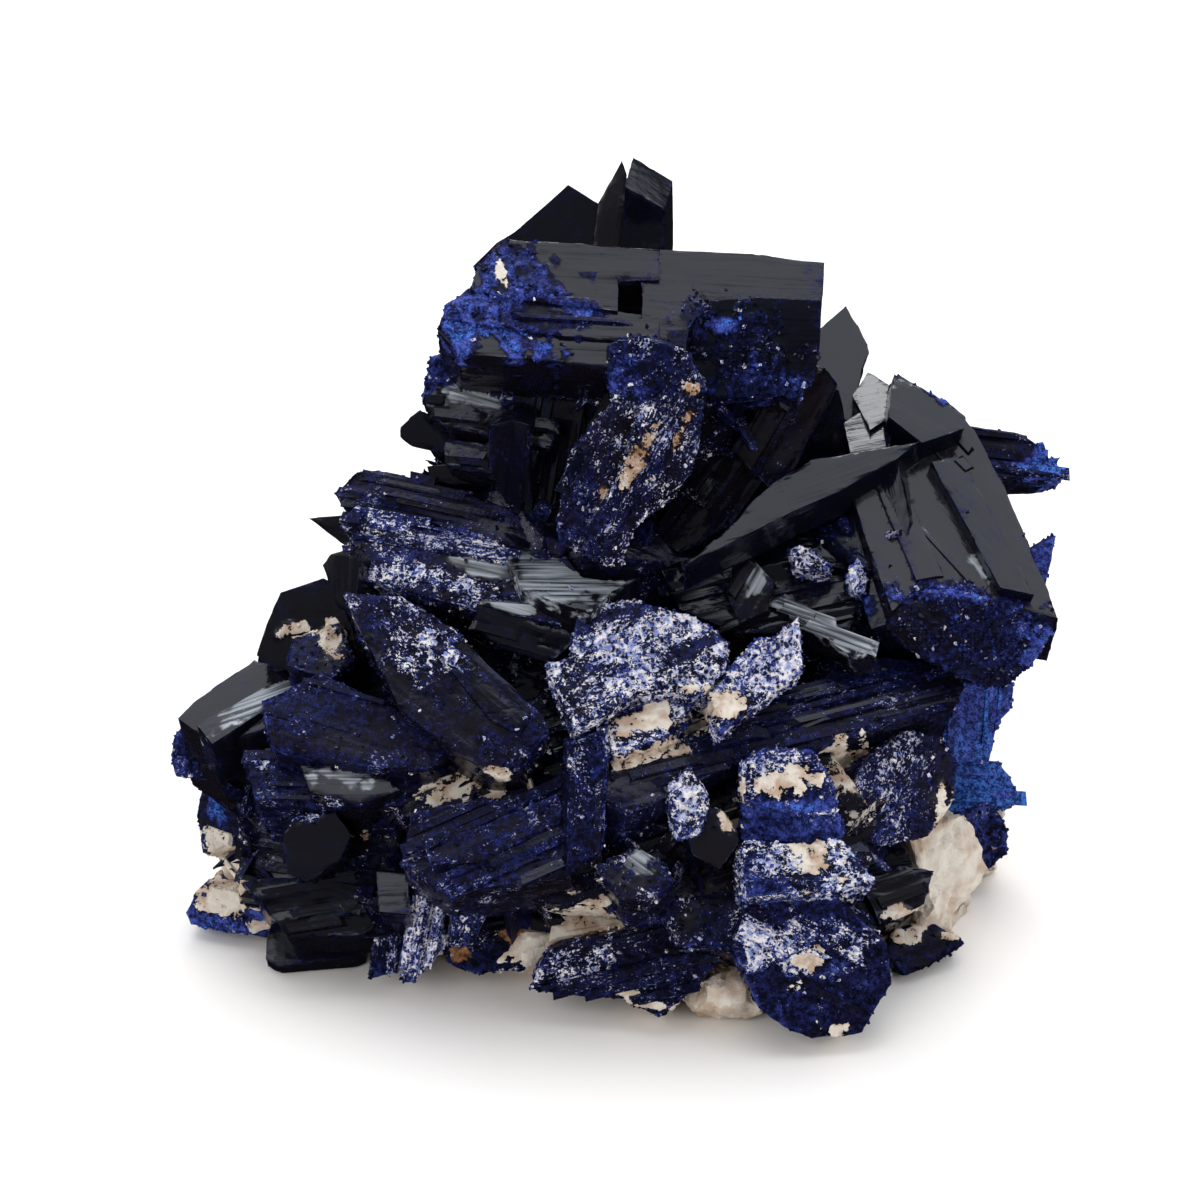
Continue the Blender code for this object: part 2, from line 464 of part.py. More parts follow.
def slab_mesh(slab, collection):
    """The slab's outline on its tilted plane, given its thickness away from the observer."""
    middle_right = sum(point[0] for point in slab.outline) / len(slab.outline)
    middle_above = sum(point[1] for point in slab.outline) / len(slab.outline)
    normal = (NEARER - RIGHT * slab.tilt[0] - ABOVE * slab.tilt[1]).normalized()
    ray = seen(middle_right, middle_above) - EYE
    origin = EYE + ray * (VIEW_DISTANCE - slab.depth) / VIEW_DISTANCE
    along = (RIGHT - normal * normal.dot(RIGHT)).normalized()
    across = normal.cross(along)
    points = []
    for right, above in slab.outline:
        place = intersect_line_plane(EYE, seen(right, above), origin, normal) - origin
        points.append((place.dot(along), place.dot(across)))
    backward = -normal * slab.thick + RIGHT * slab.push[0] + ABOVE * slab.push[1]
    shape = flat_outline_mesh(slab.name, points, slab.thick, collection)
    frame = Matrix((along, across, -backward / slab.thick)).transposed().to_4x4()
    frame.translation = origin + backward / 2
    bmesh.ops.transform(shape, matrix=frame, verts=shape.verts)
    return mesh_from_bmesh(slab.name, shape)


def blade_mesh(blade):
    """A tapering bar from its root along its length, its tip cut to a wedge by two planes."""
    shape = bmesh.new()
    bmesh.ops.create_cube(shape, size=1)
    bmesh.ops.translate(shape, verts=shape.verts, vec=(0.5, 0, 0))
    bmesh.ops.scale(shape, verts=shape.verts, vec=(blade.length, blade.width, blade.thick))
    far_end = [point for point in shape.verts if point.co.x > blade.length / 2]
    bmesh.ops.scale(shape, verts=far_end, vec=(1, BLADE_TIP_SHARE, BLADE_TIP_SHARE))
    tip = Vector((blade.length, 0, 0))
    for side, slope in zip((1, -1), blade.slopes):
        cut = Vector((math.sin(math.radians(slope)), side * math.cos(math.radians(slope)), 0.2 * side))
        geometry = shape.verts[:] + shape.edges[:] + shape.faces[:]
        result = bmesh.ops.bisect_plane(shape, geom=geometry, plane_co=tip, plane_no=cut, clear_outer=True)
        rim = [item for item in result["geom_cut"] if isinstance(item, bmesh.types.BMEdge)]
        bmesh.ops.contextual_create(shape, geom=rim)
    turn = (Matrix.Rotation(math.radians(blade.compass), 4, "Z")
            @ Matrix.Rotation(-math.radians(blade.climb), 4, "Y")
            @ Matrix.Rotation(math.radians(blade.roll), 4, "X"))
    bmesh.ops.transform(shape, matrix=Matrix.Translation(blade.root) @ turn, verts=shape.verts)
    return mesh_from_bmesh(blade.name, shape)


def clod_mesh(name, middle, half_sizes, seed):
    """A rough lump: the hull of points scattered near an oval surface."""
    draws = random.Random(seed)
    shape = bmesh.new()
    for _ in range(CLOD_CORNERS):
        spot = Vector((draws.gauss(0, 1), draws.gauss(0, 1), draws.gauss(0, 1))).normalized()
        spot *= draws.uniform(0.85, 1)
        bmesh.ops.create_vert(shape, co=[axis * half + centre for axis, half, centre
                                         in zip(spot, half_sizes, middle)])
    result = bmesh.ops.convex_hull(shape, input=shape.verts)
    loose = [item for item in result["geom_interior"] if isinstance(item, bmesh.types.BMVert)]
    bmesh.ops.delete(shape, geom=loose, context="VERTS")
    return mesh_from_bmesh(name, shape)


def grown(mesh, margin):
    """The same form with every face moved out by the margin."""
    shape = bmesh.new()
    shape.from_mesh(mesh)
    bmesh.ops.dissolve_limit(shape, angle_limit=0.01, verts=shape.verts, edges=shape.edges)
    bmesh.ops.triangulate(shape, faces=shape.faces)
    shape.normal_update()
    moved = {point: point.co + point.normal * margin * point.calc_shell_factor() for point in shape.verts}
    for point, place in moved.items():
        point.co = place
    return mesh_from_bmesh(mesh.name + "_grown", shape)


def islands_of(shape):
    """The mesh's separate shells, each as a list of faces."""
    waiting = set(shape.faces)
    islands = []
    while waiting:
        front = [waiting.pop()]
        island = []
        while front:
            face = front.pop()
            island.append(face)
            for edge in face.edges:
                for neighbour in edge.link_faces:
                    if neighbour in waiting:
                        waiting.remove(neighbour)
                        front.append(neighbour)
        islands.append(island)
    return islands


def shell_volume(faces):
    volume = 0
    for face in faces:
        corner = face.verts[0].co
        for second, third in zip(face.verts[1:], face.verts[2:]):
            volume += corner.dot(second.co.cross(third.co)) / 6
    return volume


def largest_shell(name, mesh):
    """The one solid: without sealed pockets inside it and crumbs that are cut loose from it."""
    shape = bmesh.new()
    shape.from_mesh(mesh)
    bmesh.ops.triangulate(shape, faces=shape.faces)
    islands = islands_of(shape)
    volumes = [shell_volume(island) for island in islands]
    kept = volumes.index(max(volumes))
    for place, island in enumerate(islands):
        if place != kept:
            bmesh.ops.delete(shape, geom=island, context="FACES")
    result = bpy.data.meshes.new(name)
    shape.to_mesh(result)
    shape.free()
    return result


def combine(piece, operation, collection):
    step = piece.modifiers.new(operation.lower(), "BOOLEAN")
    step.operation = operation
    step.operand_type = "COLLECTION"
    step.collection = collection
    step.solver = "EXACT"


def scaled_to_metres(mesh):
    mesh.transform(Matrix.Scale(MM, 4))
    return mesh


def floor_block(collection):
    """All that lies under the cut."""
    shape = bmesh.new()
    bmesh.ops.create_cube(shape, size=200)
    bmesh.ops.translate(shape, verts=shape.verts, vec=(0, 0, -100))
    block = add_object("below_the_cut", mesh_from_bmesh("below_the_cut", shape), collection)
    hide_helper(block)


def make_crystals(crystals, cutters):
    """Every crystal and core lump, and a slightly grown copy of each to cut the clay."""
    slabs = (top_crystals() + left_shoulder_crystals() + hanging_leaves() + hollow_crystals()
             + right_crystals() + middle_crystals() + left_crystals() + bottom_crystals())
    meshes = [slab_mesh(slab, crystals) for slab in slabs]
    meshes += [blade_mesh(blade) for blade in side_and_back_blades()]
    meshes += [clod_mesh(f"core_clod_{place}", *clod, seed=place)
               for place, clod in enumerate(CORE_CLODS, start=1)]
    for mesh in meshes:
        hide_helper(add_object(mesh.name, mesh, crystals))
        hide_helper(add_object(mesh.name + "_grown", grown(mesh, CLAY_GAP), cutters))


def make_cluster(target, crystals, below):
    heart = clod_mesh("azurite_cluster", (0, 4, 30), (10, 8, 20), seed=0)
    cluster = add_object("azurite_cluster", heart, target)
    combine(cluster, "UNION", crystals)
    combine(cluster, "DIFFERENCE", below)
    cluster.data = largest_shell("azurite_cluster", evaluated_mesh(cluster))
    cluster.modifiers.clear()
    scaled_to_metres(cluster.data)
    cluster.data.materials.append(material("azurite", AZURITE_COLOUR, 0.22))


def make_clay(target, cutters, helpers, below):
    base = flat_outline_mesh("clay_matrix", CLAY_FOOTPRINT, CLAY_HEIGHT, helpers)
    bmesh.ops.translate(base, verts=base.verts, vec=(0, 0, CLAY_HEIGHT / 2))
    for point in base.verts:
        if point.co.z > CLAY_HEIGHT / 2:
            point.co.xy *= CLAY_TOP_SHARE
    clay = add_object("clay_matrix", mesh_from_bmesh("clay_matrix", base), target)
    clods = new_collection("clay_clods")
    for place, clod in enumerate(CLAY_CLODS, start=1):
        name = f"clay_clod_{place}"
        hide_helper(add_object(name, clod_mesh(name, *clod, seed=100 + place), clods))
    combine(clay, "UNION", clods)
    combine(clay, "DIFFERENCE", below)
    combine(clay, "DIFFERENCE", cutters)
    clay.data = largest_shell("clay_matrix", evaluated_mesh(clay))
    clay.modifiers.clear()
    scaled_to_metres(clay.data)
    clay.data.materials.append(material("clay", CLAY_COLOUR, 0.9))


def main():
    clear_scene()
    specimen = new_collection("azurite_specimen")
    crystals = new_collection("crystals_to_fuse")
    cutters = new_collection("clay_cutters")
    below = new_collection("below_the_cut")
    floor_block(below)
    make_crystals(crystals, cutters)
    make_cluster(specimen, crystals, below)
    make_clay(specimen, cutters, crystals, below)


main()
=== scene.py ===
"""The looks of an azurite specimen: bladed dark blue crystals on a lump of pale clay.

Numbers for shapes are millimetres. Each finished piece is scaled to metres in its mesh.
"""

import math
import random
from collections import namedtuple

import bpy
import numpy as np
from mathutils import Matrix, Vector
from mathutils.geometry import intersect_line_plane


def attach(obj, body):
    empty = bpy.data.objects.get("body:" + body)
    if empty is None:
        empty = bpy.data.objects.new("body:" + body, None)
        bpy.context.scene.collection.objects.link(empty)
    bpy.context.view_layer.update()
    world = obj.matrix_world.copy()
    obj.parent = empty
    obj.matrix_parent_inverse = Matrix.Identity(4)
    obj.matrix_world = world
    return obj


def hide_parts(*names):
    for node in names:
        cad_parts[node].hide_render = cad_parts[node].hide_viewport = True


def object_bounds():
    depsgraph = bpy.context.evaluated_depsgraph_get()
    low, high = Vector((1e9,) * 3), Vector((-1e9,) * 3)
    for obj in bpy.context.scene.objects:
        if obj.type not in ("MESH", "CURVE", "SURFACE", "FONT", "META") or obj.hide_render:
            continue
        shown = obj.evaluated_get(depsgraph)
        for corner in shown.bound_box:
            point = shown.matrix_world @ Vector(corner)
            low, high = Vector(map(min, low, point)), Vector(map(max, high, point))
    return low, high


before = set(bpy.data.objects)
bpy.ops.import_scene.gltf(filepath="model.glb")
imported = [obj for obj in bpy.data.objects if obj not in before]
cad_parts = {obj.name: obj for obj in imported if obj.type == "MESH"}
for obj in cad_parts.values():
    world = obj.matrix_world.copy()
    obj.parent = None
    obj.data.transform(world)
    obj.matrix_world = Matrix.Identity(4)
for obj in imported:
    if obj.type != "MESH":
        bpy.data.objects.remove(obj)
cad_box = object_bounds()

MM = 0.001
ROOT = "root"

# The observer's view, in which the outlines are given
VIEW_DISTANCE = 400.0
VIEW_ELEVATION = math.radians(30)
VIEW_POINT = Vector((-2.0, 0.0, 32.3))
PICTURE_WIDTH = 120.0
RIGHT = Vector((1, 0, 0))
ABOVE = Vector((0, math.sin(VIEW_ELEVATION), math.cos(VIEW_ELEVATION)))
NEARER = Vector((0, -math.cos(VIEW_ELEVATION), math.sin(VIEW_ELEVATION)))
EYE = VIEW_POINT + NEARER * VIEW_DISTANCE

# How finely the surfaces are divided
FRONT_DICE = 3.35
BACK_DICE = 5.6
CORE_DICE = 7.0
DICE_LEVELS = 3
BLADE_TIP_SHARE = 0.72
CLOD_CORNERS = 22
CLAY_HEIGHT = 6.0
CLAY_TOP_SHARE = 0.93
CLAY_VOXEL = 0.5

# An outline's points are (right, above) of the middle of the view. depth is how much nearer than
# the middle the face lies, tilt is how much nearer it comes per millimetre to the right and up,
# and push is how far the back face is shifted right and up in the view. look names the finish,
# and run is the angle of the growth lines in the view, in degrees from the right.
Slab = namedtuple("Slab", "name look run depth tilt thick push outline")
Blade = namedtuple("Blade", "name root compass climb roll length width thick slopes")

# A finish. From 0 to 1: blue crust, white frost, clay, rust and a sheen, the amount of painted grey sky
# reflection.
# In millimetres: how far growth lines, grains, broad waves and chipped edges move the surface. Then, per
# square millimetre: laths that lie along the growth lines, tiny crystals, and small blades that stand out.
Look = namedtuple("Look", "crust frost clay rust sheen lines grains waves chips laths druse sprouts")
LOOKS = {
    "glass": Look(0.04, 0.02, 0, 0, 0, 0.03, 0.01, 0.05, 0.14, 0.00, 0.00, 0.00),
    # This look paints grey onto the faces: a painted reflection of the bright sky that glossy faces mirror.
    "painted_reflection": Look(0.10, 0.08, 0, 0, 0.9, 0.05, 0.01, 0.06, 0.20, 0.00, 0.02, 0.00),
    "brown": Look(0.24, 0.12, 0, 0.02, 0, 0.09, 0.03, 0.08, 0.22, 0.00, 0.10, 0.00),
    "smooth": Look(0.08, 0.04, 0, 0, 0.05, 0.04, 0.01, 0.04, 0.18, 0.012, 0.01, 0.00),
    "lined": Look(0.10, 0.06, 0, 0, 0.08, 0.22, 0.02, 0.08, 0.25, 0.07, 0.02, 0.00),
    "blue_lined": Look(0.34, 0.21, 0.02, 0, 0, 0.26, 0.05, 0.12, 0.32, 0.10, 0.25, 0.00),
    "streaked": Look(0.60, 0.60, 0.03, 0, 0, 0.30, 0.06, 0.12, 0.32, 0.14, 0.40, 0.00),
    "navy": Look(0.40, 0.16, 0, 0, 0, 0.10, 0.08, 0.15, 0.30, 0.02, 0.40, 0.00),
    "blue": Look(0.78, 0.22, 0.02, 0, 0, 0.06, 0.18, 0.20, 0.40, 0.00, 1.20, 0.00),
    # The bright and cobalt looks are the crust's real blue, made brighter in part as painted light shining
    # through thin crystal and painted glints.
    "bright": Look(0.94, 0.10, 0, 0, 0, 0.05, 0.22, 0.20, 0.30, 0.00, 1.40, 0.00),
    "cobalt": Look(1.15, 0.10, 0.02, 0, 0, 0.16, 0.10, 0.20, 0.40, 0.10, 0.50, 0.00),
    "speckled": Look(0.38, 0.42, 0.04, 0, 0, 0.08, 0.16, 0.14, 0.35, 0.02, 1.20, 0.00),
    "frosted": Look(0.66, 0.86, 0.06, 0, 0, 0.05, 0.18, 0.12, 0.35, 0.00, 2.20, 0.00),
    "pitted": Look(0.40, 0.40, 0.02, 0, 0, 0.08, 0.28, 0.18, 0.35, 0.02, 1.00, 0.00),
    "broken": Look(0.33, 0.14, 0, 0.03, 0.10, 0.03, 0.30, 0.25, 0.35, 0.00, 2.60, 0.00),
    "clay": Look(0.20, 0.40, 0.92, 0, 0, 0.02, 0.18, 0.20, 0.35, 0.00, 0.30, 0.00),
    "tan": Look(0.20, 0.40, 0.80, 0.50, 0, 0.02, 0.16, 0.20, 0.35, 0.00, 0.50, 0.00),
    "rust": Look(0.10, 0.20, 0.50, 0.6, 0, 0.02, 0.20, 0.20, 0.35, 0.00, 0.60, 0.00),
    "bed": Look(0.22, 0.16, 0.42, 0.03, 0.05, 0.24, 0.08, 0.25, 0.35, 0.12, 0.25, 0.12),
}

# Where a crystal's finish changes: on the named crystals, inside an oval of the view.
Patch = namedtuple("Patch", "crystals look right above half_right half_above turn")
STEPS = ("tablet_step_upper", "tablet_step_middle", "tablet_step_lower", "tablet_foot")
BEDS = ("centre_bed", "left_bed", "bottom_bed")
PATCHES = [
    Patch(STEPS, "bright", -8.2, 29.6, 4.6, 5.4, 25),
    Patch(STEPS, "bright", -13.8, 28.3, 2.4, 4.0, 0),
    Patch(STEPS, "navy", -5.0, 28.2, 3.4, 1.2, -12),
    Patch(STEPS, "clay", -9.7, 32, 0.5, 2.0, 12),
    Patch(STEPS, "bright", -1.7, 29.0, 1.8, 0.9, -15),
    Patch(("tablet", "tablet_front"), "broken", 13.5, 25.4, 6.0, 4.2, -12),
    # Bright blue spots in the broken pit: blue crust with painted glints.
    Patch(("tablet", "tablet_front"), "bright", 12.2, 27.4, 1.6, 0.9, 20),
    Patch(("tablet_front",), "bright", 15.5, 23.8, 0.7, 1.0, 0),
    Patch(("tablet_front", "tablet_foot"), "blue", 16.5, 21.4, 6.4, 1.9, 3),
    Patch(("tablet",), "navy", 8.0, 26.4, 2.6, 1.8, 0),
    Patch(("hanging_knob",), "blue", 2.6, 22.4, 2.2, 2.6, 20),
    Patch(("hanging_knob",), "tan", 8.8, 20.8, 0.8, 2.2, -25),
    Patch(("hanging_leaf_right",), "tan", 8.2, 17.0, 0.5, 2.6, -22),
    Patch(("hanging_leaf_right", "hanging_leaf_left"), "tan", 3.8, 14.0, 1.1, 3.8, -28),
    Patch(("hanging_leaf_right", "hanging_leaf_left"), "tan", 0.2, 11.1, 0.7, 1.3, -10),
    Patch(("shoulder_druse", "shoulder_blade_upper"), "painted_reflection", -12.5, 20.2, 3.6, 0.8, -15),
    Patch(("long_mid_blade", "mid_blade_ridge"), "frosted", -21.2, -0.6, 8.0, 3.8, -52),
    Patch(("long_mid_blade", "mid_blade_ridge"), "speckled", -8.2, -14.2, 3.6, 2.6, 0),
    Patch(("plate_a",), "speckled", -2.4, -9.2, 2.4, 3.6, 0),
    Patch(("coated_row",), "frosted", -19, 3.2, 7.0, 1.2, -14),
    Patch(("coated_row",), "painted_reflection", -11.5, 3.4, 3.0, 1.0, -12),
    Patch(("striated_block",), "painted_reflection", -9.0, -0.6, 3.0, 0.6, -10),
    Patch(("grey_ledge",), "painted_reflection", -4.0, 2.6, 5.6, 3.2, -10),
    Patch(("left_prism_bevel",), "painted_reflection", -34.5, -10.2, 6.0, 1.0, 30),
    Patch(("hollow_strip",), "painted_reflection", 22.0, -2.4, 6.0, 1.6, -32),
    Patch(("hollow_fan",), "painted_reflection", 15.5, 2.2, 1.6, 1.0, 40),
    Patch(("left_grey_face",), "painted_reflection", -25.5, -17.5, 3.0, 1.2, 0),
    Patch(("small_grey_crystal",), "painted_reflection", 4.0, -26.6, 1.6, 1.6, 0),
    Patch(("grey_plate_chip", "grey_plate"), "clay", -26.8, -3.8, 1.4, 1.8, 15),
    Patch(("grey_plate_chip", "grey_plate"), "clay", -30.2, -2.9, 2.2, 0.7, 10),
    Patch(("left_fan", "left_bed", "bottom_block"), "clay", -37.9, -25.6, 2.0, 2.6, 0),
    Patch(("left_fan", "left_bed", "corner_lump", "bottom_block"), "clay", -37.2, -29.4, 3.4, 2.4, 0),
    Patch(("left_fan", "left_bed"), "rust", -37.3, -27.2, 0.8, 0.7, 0),
    # Painted light along the fan's thin blue edge, partly blue crust.
    Patch(("left_fan",), "bright", -38.2, -21.2, 1.0, 1.8, 10),
    Patch(("bottom_block", "left_bed"), "frosted", -28.3, -28.4, 1.9, 0.5, 25),
    Patch(("left_bed", "left_low_blade"), "tan", -23.4, -24.2, 0.4, 1.6, 10),
    Patch(("left_low_blade",), "frosted", -33.5, -15.6, 1.6, 0.7, 15),
    Patch(("round_leaf", "left_grey_face"), "frosted", -28.6, -21.0, 3.2, 0.9, 12),
    Patch(("long_bar", "plate_c", "centre_bed"), "clay", 4.8, -15.2, 5.2, 0.8, 22),
    Patch(("long_bar", "plate_c", "plate_b", "centre_bed"), "clay", 10.9, -11.2, 3.0, 1.0, 48),
    Patch(("long_bar",), "clay", 17.5, -9.2, 4.8, 0.5, 28),
    Patch(("plate_c",), "clay", 5.0, -11.8, 3.8, 1.8, 15),
    Patch(("plate_b",), "clay", 13.4, -10.4, 1.8, 1.6, 40),
    Patch(("centre_bed", "left_bed"), "clay", -10.2, -18.4, 3.4, 1.8, -20),
    Patch(("long_mid_blade",), "clay", -10.4, -17.3, 2.0, 0.7, -25),
    Patch(("plate_a",), "clay", 9.6, -8.8, 2.0, 0.7, 0),
    Patch(("front_shard",), "clay", 5.0, -40.2, 4.2, 0.8, -12),
    Patch(("front_shard",), "frosted", -2.6, -36.6, 4.2, 2.0, 20),
    Patch(("right_big_blade",), "painted_reflection", 38.4, 3.4, 1.0, 2.3, 15),
    Patch(("low_right_crystal",), "clay", 30.0, -31.2, 2.2, 1.1, 0),
    Patch(("centre_bed", "left_bed", "left_low_blade"), "clay", -15.2, -19.2, 2.2, 0.8, 12),
    Patch(("centre_bed", "long_bar"), "clay", 24.6, -17.0, 2.2, 4.2, 5),
    Patch(("centre_bed", "long_bar", "dark_lump_upper"), "clay", 12.8, -21.8, 1.1, 1.4, 0),
    Patch(("centre_bed", "speckled_chip"), "clay", 3.0, -20.0, 1.4, 1.8, 15),
    Patch(("cream_crystal",), "clay", 18.6, -18.2, 4.8, 1.8, 6),
    Patch(("banded_crystal", "cream_crystal"), "bright", 19.0, -20.7, 4.0, 0.5, 4),
    Patch(("clay_faced_crystal",), "clay", 21.6, -26.0, 2.4, 2.5, 0),
    Patch(("pitted_blade", "right_blade_flank", "low_right_crystal"), "clay", 35.0, -24.0, 2.0, 4.6, 8),
    Patch(("low_right_splinter", "low_right_crystal"), "clay", 35.2, -26.0, 1.6, 3.6, 0),
    Patch(BEDS + ("front_shard",), "clay", 1.6, -30.8, 5.2, 2.2, 12),
    Patch(BEDS + ("front_rib", "front_shard"), "rust", 12.6, -38.0, 1.4, 1.9, 0),
    Patch(("big_front_crystal",), "frosted", 20.8, -34.4, 5.6, 3.6, 5),
    Patch(("big_front_crystal",), "clay", 21.6, -35.6, 2.5, 1.2, 15),
    Patch(("big_front_crystal",), "frosted", 24.4, -36.8, 1.5, 1.3, 0),
    Patch(("big_front_crystal",), "clay", 20.0, -38.4, 1.7, 0.6, 10),
    Patch(("big_front_crystal",), "clay", 24.0, -43.0, 1.9, 1.2, 8),
    Patch(("front_lumps", "front_blade_c", "bottom_bed"), "rust", -14.0, -35.5, 1.3, 0.9, 0),
    Patch(("front_lumps", "front_blade_c", "bottom_bed"), "rust", -8.5, -33.2, 1.7, 0.7, 10),
    Patch(("low_right_lump",), "clay", 31.4, -33.0, 1.7, 1.9, 0),
    Patch(("low_right_lump",), "clay", 34.6, -33.4, 1.5, 0.8, 10),
    # Painted light shining through the wedge's thin edge, partly blue crust.
    Patch(("right_blade_wedge",), "bright", 32.2, 21.9, 3.8, 0.7, -32),
    Patch(("right_big_blade", "right_blade_flank"), "blue", 37.0, -1.0, 8.6, 2.6, -8),
    Patch(("right_broken_end",), "blue", 44.2, -4.8, 1.6, 3.2, 30),
    Patch(("right_broken_end",), "blue", 36.6, 1.0, 7.0, 0.9, 0),
    Patch(("right_rear_blade",), "cobalt", 45.5, 14, 2.8, 3.0, 0),
]


def top_crystals():
    """The tablet that crowns the specimen, its steps at the left and the crystals behind it."""
    return [
        Slab("rear_left_crystal", "glass", 40, 5, (0, 0), 9, (0, 0),
             [(-3.2, 41.6), (-0.2, 39.7), (0.8, 32), (-12.8, 33.4), (-10.4, 35.7), (-8.6, 36.8)]),
        Slab("top_spike", "glass", 80, 6, (0, -0.2), 6, (0, 0),
             [(2.2, 44.2), (2.8, 42.5), (2.4, 33), (-1.2, 33), (-0.2, 39.7)]),
        Slab("top_block", "glass", 80, 9, (0.1, 0.3), 9, (0.1, 1.1),
             [(2.4, 41.5), (6.5, 39.1), (6.5, 32), (2.1, 32)]),
        Slab("tablet", "glass", -2, 17, (-0.05, -0.45), 11, (0, 0),
             [(3, 35.3), (16, 34.6), (22.5, 33.8), (22.3, 29.9), (15.5, 30.2), (11, 29.8),
              (9, 27.5), (8.6, 25), (4, 24), (3.2, 27), (4.2, 28.4), (4.3, 32), (3.2, 32.2)]),
        Slab("tablet_front", "glass", -2, 17, (-0.05, 0.1), 12, (0, 0),
             [(22.3, 30), (22, 24.2), (21, 21.3), (18.2, 20.4), (11.6, 20.2), (7, 22), (8.6, 25),
              (9, 27.6), (11, 29.9), (15.5, 30.3)]),
        Slab("tablet_heart", "glass", -2, 12.5, (0, -0.45), 9, (0, 0),
             [(-10, 33.5), (3, 34), (20, 32.5), (20, 22), (-10, 24)]),
        Slab("tablet_step_upper", "smooth", -4, 16.7, (0, -0.45), 10, (0, 0),
             [(-12.3, 33.6), (-9.8, 36.3), (6, 35.1), (6, 32), (1.9, 31.8), (1.8, 28.9), (-7.3, 30),
              (-13.2, 31)]),
        Slab("tablet_step_middle", "smooth", -4, 18, (0, -0.45), 10, (0, 0),
             [(-13.2, 31.3), (-7.3, 30.3), (2, 28.9), (6, 28.5), (6, 25.5), (-4, 26.4), (-15.9, 28.2),
              (-15.5, 29.7)]),
        Slab("tablet_step_lower", "smooth", -4, 19, (0, -0.45), 10, (0, 0),
             [(-15.9, 28.4), (-4, 26.6), (4, 25.7), (4, 22.8), (-4, 23.8), (-14.1, 24.7),
              (-16.3, 26.9)]),
        Slab("tablet_foot", "bed", 0, 13, (0, -0.2), 12, (0, 0),
             [(-13, 25.5), (21, 24), (20, 20.4), (11, 19.5), (2, 19), (-8, 21), (-14, 23.5)]),
    ]


def left_shoulder_crystals():
    """The dark blades that stick out to the left below the tablet."""
    return [
        Slab("shoulder_druse", "blue", -15, 12, (0.1, 0), 10, (0, 0),
             [(-17, 24.4), (-14, 25), (-8, 23), (-8.7, 18.9), (-16.2, 20.3), (-17.9, 19.9)]),
        Slab("shoulder_blade_upper", "lined", -10, 13.5, (0.15, -0.3), 9, (-0.2, -1.2),
             [(-17.9, 19.9), (-16.2, 21.4), (-8.7, 18.9), (-4, 17.5), (-5, 15), (-15.8, 17.5)]),
        Slab("shoulder_blade_lower", "lined", -8, 14, (0.15, -0.2), 8, (0, -0.8),
             [(-15.8, 16.2), (-10.8, 15.7), (-6, 15), (-7, 12), (-11.2, 12.6), (-15.6, 13.6)]),
        Slab("shoulder_glass_crystal", "glass", -60, 8, (0.1, 0), 8, (0, 0),
             [(-20, 17.2), (-19, 18.4), (-18, 19), (-16.8, 17.4), (-12, 16.5), (-12, 14.6),
              (-16.2, 14.8), (-18.9, 15.4), (-20, 16.2)]),
        Slab("shoulder_prism", "lined", 85, 17, (0, 0.3), 9, (1.2, 0.6),
             [(-11.2, 17.5), (-9, 18), (-6.8, 17.5), (-6.8, 9.8), (-9.5, 9.5), (-11, 13)]),
        Slab("shoulder_lump", "glass", 0, 9, (0, 0), 8, (0, 0),
             [(-17.3, 13.4), (-13, 14), (-12, 11.5), (-15.2, 11.6), (-17, 12)]),
        Slab("throat_prism_left", "lined", 80, 12, (0.1, 0.1), 10, (0, 0),
             [(-9, 24), (-2, 23.5), (-1, 14), (-4, 8), (-6.7, 5), (-9.5, 10)]),
        Slab("throat_prism_right", "lined", 80, 10, (-0.1, 0.2), 10, (0, 0),
             [(-3, 24), (4, 23), (3.4, 12), (1, 4), (-4, 4), (-5.5, 12)]),
    ]


def hanging_leaves():
    """The coated plates that hang over the hollow."""
    return [
        Slab("hanging_knob", "speckled", 60, 21, (0, 0.1), 9, (0, 0),
             [(0.7, 25.5), (4, 26.5), (8.7, 25), (10.8, 21), (8.4, 19), (4, 18.6), (1, 20)]),
        Slab("hanging_leaf_left", "speckled", 60, 18.5, (0.25, 0.2), 3.5, (0, 0),
             [(-0.9, 17.2), (-2.2, 15.9), (-3.4, 13.8), (-3.8, 10.7), (-4.5, 7.8), (-4.1, 5.5),
              (-1, 4.2), (2.6, 8), (5.5, 15), (4, 19.5), (1.5, 20)]),
        Slab("hanging_leaf_right", "speckled", 60, 20, (-0.15, 0.2), 4, (0, 0),
             [(-1.6, 4.4), (1, 3.4), (2.4, 3.2), (2.8, 5.3), (3.7, 7.6), (7.4, 10.1), (9.3, 13),
              (9.8, 15.7), (10.5, 20), (7, 21), (4, 19.5), (2.2, 13), (-1, 7)]),
        Slab("leaf_anchor", "glass", 60, 15, (0, 0), 9, (0, 0),
             [(-3, 8), (5, 9), (9, 14), (10, 21), (1, 22), (-2, 16)]),
    ]


